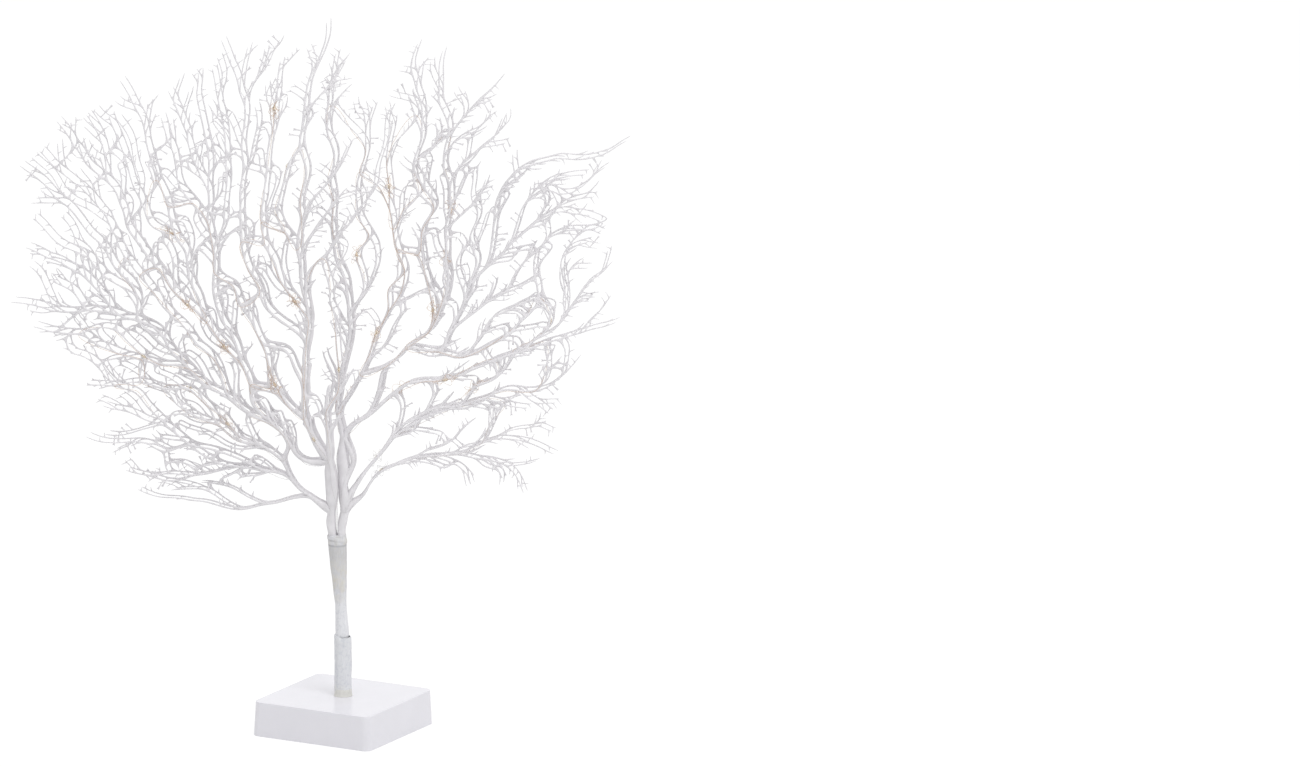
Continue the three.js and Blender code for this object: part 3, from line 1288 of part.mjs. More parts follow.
function addCrown(crown) {
  const nets = { left: growNet(MOULDINGS.left), right: growNet(MOULDINGS.right) };
  for (const [name, fan] of Object.entries(FANS)) {
    addPiece(crown, name, netGeometry(nets[fan.moulding], placeOn(fan)), coralPlastic);
  }
  let count = 0;
  for (const side of ['left', 'right']) {
    const net = nets[side];
    const way = stringWay(net, STRINGS[side]);
    const { path, lamps } = windString(net, way, placeOn(FANS[`fan_${side}_front`]));
    const line = [...stringRise(MOULDINGS[side].hand), ...path];
    const long = line.slice(1).reduce((sum, p, n) => sum + p.distanceTo(line[n]), 0);
    const gap = leastGap(line, 12).toFixed(2);
    console.log(`${side} string: ${long.toFixed(0)} mm, least gap to itself ${gap} mm`);
    addPiece(crown, `light_wire_${side}`, sweep(line, WIRE_RADIUS, 4), copperWire);
    lamps.forEach((lamp) => {
      count += 1;
      const bead = addPiece(crown, `lamp_${String(count).padStart(2, '0')}`, lampBead(), lampResin);
      bead.position.copy(lamp.middle);
      bead.quaternion.setFromUnitVectors(new THREE.Vector3(0, 0, 1), lamp.along);
    });
  }
}

// One lead runs from the board up through the spigot and the rod to the two strings
function addLeadWire() {
  const boardTop = boardBottom + BOARD_THICK + GAP;
  const turn = CROWN_TURN * RADIANS;
  const inRod = (z) => [leanX(z) * Math.cos(turn), leanX(z) * Math.sin(turn), z];
  const path = [
    [-8, SWITCH_Y + 8, boardTop], [-8, SWITCH_Y + 8, boardTop + 3], [-6.5, -16, 14.5], [-3, -7, 17.5],
    [-0.5, -1.5, 21], [0, 0, 24.5], [0, 0, 48], [0, 0, plugEnd - 4],
    inRod(plugEnd + 6), inRod(plugEnd + 35), inRod(rodTop),
  ];
  addPiece(group, 'lead_wire', sweep(path, LEAD_RADIUS, 6), leadCover);
}

// Two short leads bring the cells' current from the solder tabs to the board
function addCellLeads() {
  const boardTop = boardBottom + BOARD_THICK + GAP;
  for (const { contact, side, x, y } of solderTabs) {
    const minus = contact === 0;
    const start = x - side * (PLATE_THICK / 2 + GAP);
    const z = caseInside.z1 + CASE_WALL + GAP + CELL_LEAD_RADIUS;
    const end = BOARD_X + side * (BOARD_LONG / 2 - 3);
    const path = [
      [start, y, z], [start - side * 3, y, z], [start - side * 5, y - 3, z], [start - side * 6, 5, z],
      [start - side * 6, -2, z - 1], [end, -14, boardTop + 4], [end, SWITCH_Y + 5, boardTop + 2],
      [end, SWITCH_Y + 4, boardTop],
    ];
    const lead = sweep(path, CELL_LEAD_RADIUS, 6);
    addPiece(group, minus ? 'cell_lead_minus' : 'cell_lead_plus', lead, minus ? blackPlastic : redCover);
  }
}

const turnedTrunk = new THREE.Group();
turnedTrunk.rotation.set(0, 0, CROWN_TURN * RADIANS);
group.add(turnedTrunk);
const crown = new THREE.Group();
crown.position.set(leanX(wrapTop), 0, wrapTop);
turnedTrunk.add(crown);
addBase();
addCells();
addTrunk(turnedTrunk);
addCrown(crown);
addLeadWire();
addCellLeads();

export default group;
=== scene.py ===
# The looks of a coral light tree, built round its fixed frame. Metres, +Z up, the base's front is -Y.
# Lengths in this script are millimetres, times MM where they reach the scene.

import math
import random

import bmesh
import bpy
from mathutils import Matrix, Quaternion, Vector
from mathutils.kdtree import KDTree
from mathutils.noise import noise


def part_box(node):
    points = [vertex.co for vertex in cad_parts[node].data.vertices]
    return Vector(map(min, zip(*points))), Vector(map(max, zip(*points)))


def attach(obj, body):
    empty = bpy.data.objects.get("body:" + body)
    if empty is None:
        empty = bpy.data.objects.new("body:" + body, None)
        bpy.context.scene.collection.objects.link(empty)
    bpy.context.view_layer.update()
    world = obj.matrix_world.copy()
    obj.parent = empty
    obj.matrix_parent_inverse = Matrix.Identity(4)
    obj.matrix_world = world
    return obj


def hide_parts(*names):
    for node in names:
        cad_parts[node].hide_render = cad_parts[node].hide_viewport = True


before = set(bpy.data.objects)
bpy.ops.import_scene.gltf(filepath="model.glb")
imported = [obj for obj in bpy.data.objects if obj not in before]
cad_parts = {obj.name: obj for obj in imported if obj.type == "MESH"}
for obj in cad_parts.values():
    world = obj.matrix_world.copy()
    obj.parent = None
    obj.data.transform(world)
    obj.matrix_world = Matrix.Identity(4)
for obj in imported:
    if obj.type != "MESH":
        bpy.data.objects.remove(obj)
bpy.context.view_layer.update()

MM = 0.001

# The photograph: its frame, the tree's scale in it, and the column where the trunk stands
PHOTO_WIDE = 1300
PIXELS_PER_METRE = 1214
TRUNK_COLUMN = 343.1
GROUND_ROW = 728.7
VIEW_TURN = math.radians(29.6)
VIEW_RISE = math.radians(13.4)
VIEW_DISTANCE = 14
AIM_HEIGHT = 0.294
SENSOR_WIDE = 36

# Base
BASE_SIDE = 111.5
BASE_HEIGHT = 29
BASE_DRAFT = math.radians(2.4)
BASE_CORNER = 6.4
BASE_WALL = 2.2
BASE_ROOF = 2.4
BASE_EDGE = 0.6
BASE_FOOT_EDGE = 0.3
SPIGOT_RADIUS = 5.45
SPIGOT_BORE = 3.2
SPIGOT_RISE = 20
BOSS_RADIUS = 4
BOSS_INSET = 12
BOSS_FOOT = 8.3

# Trunk: a taped tube, and in its mouth a slimmer taped rod that leans
CROWN_TURN = math.radians(28)
TRUNK_LEAN = math.radians(3)
TUBE_TOP = 79
TAPE_FOOT = 33.5
PIVOT = 69.5
PLUG_END = 60
WRAP_TOP = 166
TAPE_THICK = 0.5
TO_RIGHT = math.radians(28)
TO_LEFT = math.radians(208)
TO_FRONT = math.radians(-62)

# The crown's edge as columns and rows of the photograph, from its lowest left twigs clockwise
CROWN_EDGE = [
    (330, 545), (300, 500), (215, 512), (130, 490), (118, 465), (90, 430), (88, 375), (25, 310), (15, 290),
    (25, 215), (20, 160), (28, 130), (60, 110), (100, 85), (155, 80), (183, 60), (220, 38), (240, 45),
    (270, 25), (328, 15), (340, 50), (385, 80), (408, 40), (437, 50), (470, 110), (500, 78), (520, 168),
    (627, 142), (595, 200), (610, 230), (612, 290), (617, 323), (570, 370), (560, 430), (556, 458),
    (523, 497), (430, 490), (370, 520),
]

# Coral: the fine net that grows on the frame's coarse one
SUB_STEP = 5.5
STEP_OF_GIRTH = 2.8
ROOT = (2, 24)
CAGE_SWELL = 1 / 0.72
FLANK_OF_TWIG = 0.7
FLANK_OF_GIRTH = 2.2
SAME_PLACE = 0.02
SAME_CORNER = 0.002
TIP_REACH = 4.6
FORK_SWELL = 1.14
END_GIRTH = 0.45
SWAY = 0.06
UNEVEN = 0.05
WAIST = 0.1
# A twig runs on from the one opposite when the cosine between them is below this
RUNS_ON = -0.25
LEAST_SINE = 0.2
FORK_ROOM = 0.8

# The rear copy of a moulding stands a little to the right of the front one, but not in the trunk
CROWN_X = -10
COPY_SHIFT = 3.2
SHIFT_START = 30
SHIFT_RISE = 90

IN_CROWN = (
    Matrix.Rotation(CROWN_TURN, 4, "Z")
    @ Matrix.Translation((-(WRAP_TOP - PIVOT) * math.tan(TRUNK_LEAN), 0, WRAP_TOP))
)
IN_LEAN = (
    Matrix.Rotation(CROWN_TURN, 4, "Z")
    @ Matrix.Translation((0, 0, PIVOT))
    @ Matrix.Rotation(-TRUNK_LEAN, 4, "Y")
)


# Camera, light and floor

def make_camera():
    """The photograph's view: from far off and a little above, with the tree in the frame's left half."""
    data = bpy.data.cameras.new("camera")
    data.sensor_width = SENSOR_WIDE
    data.lens = SENSOR_WIDE * VIEW_DISTANCE * PIXELS_PER_METRE / PHOTO_WIDE
    data.clip_end = 100
    camera = placed("camera", data)
    level = math.cos(VIEW_RISE)
    back = Vector((math.sin(VIEW_TURN) * level, -math.cos(VIEW_TURN) * level, math.sin(VIEW_RISE)))
    camera.location = Vector((0, 0, AIM_HEIGHT)) + VIEW_DISTANCE * back
    aside = (PHOTO_WIDE / 2 - TRUNK_COLUMN) / PIXELS_PER_METRE
    turned = Quaternion((0, 1, 0), -math.atan(aside / VIEW_DISTANCE))
    camera.rotation_mode = "QUATERNION"
    camera.rotation_quaternion = (-back).to_track_quat("-Z", "Y") @ turned
    bpy.context.scene.camera = camera


def add(tree, kind, inputs=None, **settings):
    """A node with its settings. An input is a number, a colour, an output to link it to, or a node
    whose first output is meant."""
    made = tree.nodes.new(f"ShaderNode{kind}")
    for name, value in settings.items():
        setattr(made, name, value)
    for name, value in (inputs or {}).items():
        give(tree, made.inputs[name], value)
    return made


def give(tree, socket, value):
    """Gives a node's input its value, or links it to an output or to a node's first output."""
    if isinstance(value, bpy.types.Node):
        value = value.outputs[0]
    if isinstance(value, bpy.types.NodeSocket):
        tree.links.new(value, socket)
    else:
        socket.default_value = value


def seen_ray(tree):
    """One for the rays that show the backdrop itself: straight, mirrored or through glass."""
    path = add(tree, "LightPath")
    straight = add(tree, "Math", {
        0: path.outputs["Is Camera Ray"], 1: path.outputs["Is Glossy Ray"],
    }, operation="MAXIMUM")
    return add(tree, "Math", {0: straight, 1: path.outputs["Is Transmission Ray"]}, operation="MAXIMUM")


# The sky's strength at the level, from SKY_FULL_AT up, and below the level
SKY_LOW = 0.34
SKY_HIGH = 1
SKY_FULL_AT = 0.8
SKY_BELOW = 0.8
BELOW_LEVEL = -0.01
LAMP_WIDE = 1.4
LAMP_POWER = 17
LAMP_PLACE = Vector((1.5, -0.7, 2.3))
LAMP_AIM = Vector((0, 0, 0.2))
FLOOR_TONE = 0.85
FLOOR_SHADOW = 0.25
FLOOR_GLOW = 1.12
FLOOR_HALF = 4
FLOOR_RISE = 0.05
FLOOR_HOLE = 52


def make_studio():
    """A white room: even light from all round, one soft lamp high at the right, and a pale floor."""
    scene = bpy.context.scene
    scene.view_settings.view_transform = "Standard"
    world = bpy.data.worlds.new("studio")
    world.use_nodes = True
    scene.world = world
    tree = world.node_tree
    tree.nodes.clear()
    white = [1, 1, 1, 1]
    direction = add(tree, "TexCoord").outputs["Generated"]
    height = add(tree, "SeparateXYZ", {"Vector": direction}).outputs["Z"]
    level = add(tree, "MapRange", {
        "Value": height, "From Max": SKY_FULL_AT, "To Min": SKY_LOW, "To Max": SKY_HIGH,
    })
    # The lower sky lights only what faces down past the floor: the base's underside and its open door
    lower = add(tree, "Math", {0: height, 1: BELOW_LEVEL}, operation="LESS_THAN")
    strength = add(tree, "MapRange", {"Value": lower, "To Min": level, "To Max": SKY_BELOW})
    soft = add(tree, "Background", {"Color": white, "Strength": strength})
    plain = add(tree, "Background", {"Color": white, "Strength": 1})
    shown = add(tree, "MixShader", {0: seen_ray(tree), 1: soft, 2: plain})
    add(tree, "OutputWorld", {"Surface": shown})

    lamp = bpy.data.lights.new("soft_lamp", "AREA")
    lamp.shape = "DISK"
    lamp.size = LAMP_WIDE
    lamp.energy = LAMP_POWER
    holder = placed("soft_lamp", lamp)
    holder.location = LAMP_PLACE
    holder.rotation_mode = "QUATERNION"
    holder.rotation_quaternion = (LAMP_AIM - LAMP_PLACE).to_track_quat("-Z", "Y")

    paint = bpy.data.materials.new("studio_floor")
    paint.use_nodes = True
    tree = paint.node_tree
    tree.nodes.clear()
    shade = add(tree, "BsdfDiffuse", {"Color": [FLOOR_TONE] * 3 + [1]})
    glow = add(tree, "Emission", {"Color": white, "Strength": FLOOR_GLOW})
    share = add(tree, "Math", {0: seen_ray(tree), 1: 1 - FLOOR_SHADOW}, operation="MULTIPLY")
    pale = add(tree, "MixShader", {0: share, 1: shade, 2: glow})
    # From below the floor isn't there, so the base's underside and its open door can be seen
    below = add(tree, "NewGeometry").outputs["Backfacing"]
    open_below = add(tree, "MixShader", {0: below, 1: pale, 2: add(tree, "BsdfTransparent")})
    add(tree, "OutputMaterial", {"Surface": open_below})
    # It is open under the base, so that it doesn't darken the recessed door
    corners = [
        (x * half, y * half, FLOOR_RISE * MM)
        for half in (FLOOR_HALF, FLOOR_HOLE * MM) for x, y in ((-1, -1), (1, -1), (1, 1), (-1, 1))
    ]
    sides = [(i, (i + 1) % 4, 4 + (i + 1) % 4, 4 + i) for i in range(4)]
    floor = make_piece("studio_floor", corners, sides, paint)


# Materials

MIX_FACTOR, MIX_A, MIX_B, MIX_RESULT = 0, 6, 7, 2


def colour(code):
    """The linear colour of an sRGB hex value."""
    shares = [int(code[n:n + 2], 16) / 255 for n in (1, 3, 5)]
    return [s / 12.92 if s <= 0.04045 else ((s + 0.055) / 1.055) ** 2.4 for s in shares] + [1]


def new_material(name, **settings):
    """A material, its node tree, its shader with the settings given, and the place for its patterns."""
    made = bpy.data.materials.new(name)
    made.use_nodes = True
    tree = made.node_tree
    shader = tree.nodes["Principled BSDF"]
    for socket, value in settings.items():
        shader.inputs[socket.replace("_", " ")].default_value = value
    return made, tree, shader, add(tree, "TexCoord").outputs["Object"]


def layered(tree, tone, *layers):
    """A tone with other colours laid over it in turn, each by its share."""
    for share, over in layers:
        tone = add(tree, "Mix", {
            MIX_FACTOR: share, MIX_A: tone, MIX_B: colour(over),
        }, data_type="RGBA").outputs[MIX_RESULT]
    return tone


def clouded(tree, place, size, detail, low, high):
    """A colour that drifts between two in clouds of a size in millimetres, and the clouds' own node."""
    clouds = add(tree, "TexNoise", {"Vector": place, "Scale": 1 / (size * MM), "Detail": detail})
    return layered(tree, colour(low), (clouds, high)), clouds


def linked(made, shader, **sources):
    """The material, with a pattern linked to each of the shader's sockets that is named."""
    for socket, source in sources.items():
        give(made.node_tree, shader.inputs[socket.replace("_", " ")], source)
    return made


def moulded_abs(name, high, low, roughness):
    """Injection-moulded ABS: satin, with a spark-etched mould's fine grain and faint, wide sinks."""
    made, tree, shader, place = new_material(name, IOR=1.54)
    tone, sinks = clouded(tree, place, 28, 2, low, high)
    gloss = add(tree, "MapRange", {
        "Value": sinks, "To Min": roughness - 0.04, "To Max": roughness + 0.04,
    })
    grain = add(tree, "TexNoise", {"Vector": place, "Scale": 1 / (0.5 * MM), "Detail": 2})
    bump = add(tree, "Bump", {"Height": grain, "Strength": 0.12, "Distance": 0.04 * MM})
    return linked(made, shader, Base_Color=tone, Roughness=gloss, Normal=bump)


def painted_polyethylene():
    """Moulded polyethylene with a sprayed matt paint: chalky, thin and thick in clouds, with specks
    of dry spray. The specks are drawn coarser than they are, so that they show."""
    made, tree, shader, place = new_material("painted_polyethylene", Roughness=0.52, IOR=1.5)
    clouds = add(tree, "TexNoise", {"Vector": place, "Scale": 1 / (9 * MM), "Detail": 4})
    even = add(tree, "MapRange", {"Value": clouds, "From Min": 0.3, "From Max": 0.7})
    tone = layered(tree, colour("#E1DFE2"), (even, "#EEECEF"))
    specks = add(tree, "TexNoise", {"Vector": place, "Scale": 1 / (0.6 * MM), "Detail": 3})
    bump = add(tree, "Bump", {"Height": specks, "Strength": 0.35, "Distance": 0.08 * MM})
    return linked(made, shader, Base_Color=tone, Normal=bump)


def wound_tape(name, plain, shade, stain, levels, shade_patch_tone="#BFC2CB", line=0):
    """Cotton tape wound round the trunk and brushed with paint: fibres along it, blue-grey patches of
    painted shade, yellow glue stains between the heights given, painted shade deepening from the first
    height to the last, and a painted shadow along one line."""
    made, tree, shader, place = new_material(name, Roughness=0.78, IOR=1.45)
    height = add(tree, "SeparateXYZ", {"Vector": place}).outputs["Z"]
    foot, full, fade, end = (level * MM for level in levels)
    rising = add(tree, "MapRange", {"Value": height, "From Min": foot, "From Max": full})
    falling = add(tree, "MapRange", {
        "Value": height, "From Min": fade, "From Max": end, "To Min": 1, "To Max": 0,
    })
    within = add(tree, "Math", {0: rising, 1: falling}, operation="MULTIPLY")
    patches = add(tree, "TexNoise", {"Vector": place, "Scale": 1 / (8 * MM), "Detail": 4})
    patchy = add(tree, "MapRange", {"Value": patches, "From Min": 0.4, "From Max": 0.68})
    stained = add(tree, "Math", {0: within, 1: patchy}, operation="MULTIPLY")
    # Painted shade: the tape turns to its shade colour from the first height to the last, deepest on the
    # rod's tape under the crown
    grey = add(tree, "MapRange", {"Value": height, "From Min": foot, "From Max": end})
    # Painted shade: blue-grey patches in random clouds, standing for the tape's mottled shade
    shade_patch_clouds = add(tree, "TexNoise", {
        "Vector": place, "Scale": 1 / (2.6 * MM), "Detail": 3, "Distortion": 0.8,
    })
    painted_shade_patches = add(tree, "MapRange", {
        "Value": shade_patch_clouds, "From Min": 0.5, "From Max": 0.66, "To Max": 0.6,
    })
    # Painted shadow: a dark grey line at the given height, under the binding's lower edge
    off_line = add(tree, "Math", {0: height, 1: line * MM}, operation="SUBTRACT")
    off_line = add(tree, "Math", {0: off_line}, operation="ABSOLUTE")
    painted_shadow_line = add(tree, "MapRange", {
        "Value": off_line, "From Min": 0.2 * MM, "From Max": 1.1 * MM, "To Min": 0.7, "To Max": 0,
    })
    tone = layered(
        tree, colour(plain), (grey, shade), (stained, stain), (painted_shade_patches, shade_patch_tone), (painted_shadow_line, "#9C9DA2"),
    )
    upright = add(tree, "Mapping", {"Vector": place, "Scale": (1, 1, 0.12)})
    fibres = add(tree, "TexNoise", {
        "Vector": upright, "Scale": 1 / (0.9 * MM), "Detail": 4, "Roughness": 0.65,
    })
    worn = add(tree, "Mix", {
        MIX_FACTOR: fibres, MIX_A: tone, MIX_B: colour("#FFFFFF"),
    }, data_type="RGBA", blend_type="SOFT_LIGHT")
    bump = add(tree, "Bump", {"Height": fibres, "Strength": 0.6, "Distance": 0.25 * MM})
    return linked(made, shader, Base_Color=worn.outputs[MIX_RESULT], Normal=bump)


def dried_glue():
    """Hot-melt glue gone cold: cream and waxy, with smooth runs."""
    made, tree, shader, place = new_material("dried_hot_glue", Roughness=0.42, IOR=1.48)
    tone, runs = clouded(tree, place, 4, 3, "#DAD9D2", "#EBEAE5")
    bump = add(tree, "Bump", {"Height": runs, "Strength": 0.4, "Distance": 0.4 * MM})
    return linked(made, shader, Base_Color=tone, Normal=bump)


def enamelled_copper(sprayed, bare):
    """Lacquered copper wire: warm and bright, but dusted with the coral's paint up to a height."""
    made, tree, shader, place = new_material("enamelled_copper", Metallic=0.6, Roughness=0.4)
    height = add(tree, "SeparateXYZ", {"Vector": place}).outputs["Z"]
    clean = add(tree, "MapRange", {"Value": height, "From Min": sprayed * MM, "From Max": bare * MM})
    copper, _ = clouded(tree, place, 2, 3, "#C8AA8F", "#E0CCBC")
    tone = add(tree, "Mix", {
        MIX_FACTOR: clean, MIX_A: colour("#D8D6D8"), MIX_B: copper,
    }, data_type="RGBA")
    return linked(made, shader, Base_Color=tone.outputs[MIX_RESULT])


def rolled_metal(name, high, low, roughness, grain):
    """Metal with the fine lines of rolling or drawing, a grain's width apart in millimetres."""
    made, tree, shader, place = new_material(name, Metallic=1)
    tone, lines = clouded(tree, place, grain, 3, low, high)
    gloss = add(tree, "MapRange", {
        "Value": lines, "To Min": roughness - 0.08, "To Max": roughness + 0.08,
    })
    return linked(made, shader, Base_Color=tone, Roughness=gloss)


def drawn_cover(name, high, low):
    """Extruded PVC on a thin lead: even, soft gloss, with the screw's faint ripple along it."""
    made, tree, shader, place = new_material(name, Roughness=0.4, IOR=1.53)
    tone, _ = clouded(tree, place, 3, 1, low, high)
    return linked(made, shader, Base_Color=tone)


def fibreglass_board(top):
    """A glass-epoxy board: green lacquer over the weave, and dark moulded parts above its face."""
    made, tree, shader, place = new_material("fibreglass_board", Roughness=0.35, IOR=1.55)
    height = add(tree, "SeparateXYZ", {"Vector": place}).outputs["Z"]
    above = add(tree, "Math", {0: height, 1: top}, operation="GREATER_THAN")
    weave = add(tree, "TexChecker", {
        "Vector": place, "Scale": 1 / (0.8 * MM), "Color1": colour("#2F7048"), "Color2": colour("#2A6641"),
    })
    tone = layered(tree, weave.outputs["Color"], (above, "#26272A"))
    return linked(made, shader, Base_Color=tone)


def sleeved_cell(half):
    """A dry cell: a plain shrunk sleeve over the can, and bare tinned steel at both ends."""
    made, tree, shader, place = new_material("sleeved_cell", Roughness=0.33, IOR=1.5)
    along = add(tree, "SeparateXYZ", {"Vector": place}).outputs["X"]
    out = add(tree, "Math", {0: along}, operation="ABSOLUTE")
    bare = add(tree, "Math", {0: out, 1: half}, operation="GREATER_THAN")
    sleeve, _ = clouded(tree, place, 5, 2, "#55677D", "#64768C")
    tone = layered(tree, sleeve, (bare, "#C6C5C0"))
    return linked(made, shader, Base_Color=tone, Metallic=bare)


def cast_resin():
    """Clear epoxy cast round a lamp's chip: water-clear, with a smooth, bright skin."""
    made, tree, shader, place = new_material(
        "cast_epoxy_bead", Roughness=0.06, IOR=1.52, Transmission_Weight=0.9,
    )
    tone, _ = clouded(tree, place, 2, 1, "#F7EEDC", "#FFFBF3")
    return linked(made, shader, Base_Color=tone)


def phosphor_chip():
    """The lamp's chip under its phosphor: matt and pale cream while it is off."""
    made, tree, shader, place = new_material("phosphor_chip", Roughness=0.6)
    tone, _ = clouded(tree, place, 0.3, 2, "#EFDDC8", "#F5EADB")
    return linked(made, shader, Base_Color=tone)


# Meshes

def placed(name, data):
    """An object of the scene that shows the data."""
    made = bpy.data.objects.new(name, data)
    bpy.context.scene.collection.objects.link(made)
    return made


def make_piece(name, points, faces, *finishes):
    mesh = bpy.data.meshes.new(name)
    mesh.from_pydata(points, [], faces)
    mesh.shade_smooth()
    for finish in finishes:
        mesh.materials.append(finish)
    return placed(name, mesh)


def hand_over(piece, slot, *nodes, body="tree"):
    """The piece rides on its body and stands for its nodes, which it hides. The slot is not used."""
    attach(piece, body)
    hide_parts(*nodes)


class Shape:
    """The points and faces of one piece, gathered from lofts."""

    def __init__(self):
        self.points = []
        self.faces = []

    def loft(self, rings, loop=False):
        """Joins each ring of points to the next, and the last to the first or each end to itself."""
        start = len(self.points)
        count = len(rings[0])
        for ring in rings:
            self.points.extend(ring)
        for level in range(len(rings) if loop else len(rings) - 1):
            here = start + level * count
            there = start + (level + 1) % len(rings) * count
            for n in range(count):
                after = (n + 1) % count
                self.faces.append((here + n, here + after, there + after, there + n))
        if not loop:
            last = start + (len(rings) - 1) * count
            self.faces.append(tuple(range(start + count - 1, start - 1, -1)))
            self.faces.append(tuple(range(last, last + count)))

    def piece(self, name, *finishes):
        points = [Vector(p) * MM for p in self.points]
        made = make_piece(name, points, self.faces, *finishes)
        work = bmesh.new()
        work.from_mesh(made.data)
        bmesh.ops.recalc_face_normals(work, faces=work.faces)
        work.to_mesh(made.data)
        work.free()
        return made


def round_ring(count, point):
    """A ring of points from a function of the angle."""
    return [point(2 * math.pi * n / count) for n in range(count)]


def circle(radius, z, count=32, x=0, y=0):
    return round_ring(count, lambda turn: (x + radius * math.cos(turn), y + radius * math.sin(turn), z))


def off_axis(radius, turn, z):
    return radius * math.cos(turn), radius * math.sin(turn), z


def smooth(share):
    t = max(0, min(1, share))
    return t * t * (3 - 2 * t)


def along_list(table, at):
    """The value at a place in a list of places and values, eased between its entries."""
    for (start, low), (end, high) in zip(table, table[1:]):
        if at <= end:
            return low + (high - low) * smooth((at - start) / (end - start))
    return table[-1][1]


# Base

CORNER_STEPS = 14
EDGE_STEPS = 5
QUARTERS = ((1, 1), (-1, 1), (-1, -1), (1, -1))
INTO_ROOF = 0.2
SPIGOT_EDGE = 0.6


def square_ring(side, corner, z):
    ring = []
    inner = side / 2 - corner
    for quarter, (sx, sy) in enumerate(QUARTERS):
        for n in range(CORNER_STEPS + 1):
            turn = (quarter + n / CORNER_STEPS) * math.pi / 2
            x = sx * inner + corner * math.cos(turn)
            y = sy * inner + corner * math.sin(turn)
            ring.append((x, y, z))
    return ring


def draft_at(z):
    return z * math.tan(BASE_DRAFT)


def base_cover(plastic):
    """The moulded cover: sloped walls, a softly broken top edge, and the spigot that holds the trunk."""
    def side(z):
        return BASE_SIDE - 2 * draft_at(z)

    roof = BASE_HEIGHT - BASE_ROOF
    cavity = [
        square_ring(side(roof) - 2 * BASE_WALL, BASE_CORNER - BASE_WALL, roof),
        square_ring(side(0) - 2 * BASE_WALL, BASE_CORNER - BASE_WALL, 0),
    ]
    foot = [
        square_ring(side(0) - 2 * BASE_FOOT_EDGE, BASE_CORNER - BASE_FOOT_EDGE, 0),
        square_ring(side(0) - BASE_FOOT_EDGE / 2, BASE_CORNER, BASE_FOOT_EDGE / 2),
        square_ring(side(BASE_FOOT_EDGE), BASE_CORNER, BASE_FOOT_EDGE),
    ]
    edge = []
    for n in range(EDGE_STEPS + 1):
        turn = n / EDGE_STEPS * math.pi / 2
        inset = BASE_EDGE * (1 - math.cos(turn))
        z = BASE_HEIGHT - BASE_EDGE * (1 - math.sin(turn))
        edge.append(square_ring(side(z) - 2 * inset, BASE_CORNER - inset, z))
    shape = Shape()
    shape.loft(cavity + foot + edge)
    foot_level, top = roof + INTO_ROOF, BASE_HEIGHT + SPIGOT_RISE
    shape.loft([
        circle(SPIGOT_BORE, foot_level), circle(SPIGOT_RADIUS, foot_level),
        circle(SPIGOT_RADIUS, top - SPIGOT_EDGE), circle(SPIGOT_RADIUS - SPIGOT_EDGE, top),
        circle(SPIGOT_BORE, top),
    ], loop=True)
    for sx, sy in QUARTERS:
        x = sx * (BASE_SIDE / 2 - BOSS_INSET)
        y = sy * (BASE_SIDE / 2 - BOSS_INSET)
        shape.loft([circle(BOSS_RADIUS, z, 24, x, y) for z in (BOSS_FOOT, foot_level)])
    cover = shape.piece("base_cover", plastic)
    cover.modifiers.new("even_normals", "WEIGHTED_NORMAL").weight = 80
    hand_over(cover, "white_plastic", "base_shell")


# Trunk

TRUNK_SIDES = 112
SLEEVE_RADIUS = 6.66
SLEEVE_BORE = 6.54
SLEEVE_LEVELS = 90
SLEEVE_LAP = 19
OVER_TUBE = 0.06
LIP_OVER_TUBE = 0.08
# The sleeve's mouth is turned in: radius, and how far under the rim
TURNED_IN = ((6.0, -0.15), (5.72, 0.05), (5.7, 0.45))


def rippled(turn, z, across, along, seed):
    """Smooth unevenness round the trunk: so many waves across, and so many millimetres along."""
    return noise(Vector((across * math.cos(turn), across * math.sin(turn) + seed, z / along)))


def leaning(radius, turn, z):
    """A point round the upper trunk, which leans from its pivot on."""
    return IN_LEAN @ Vector(off_axis(radius, turn, z - PIVOT))


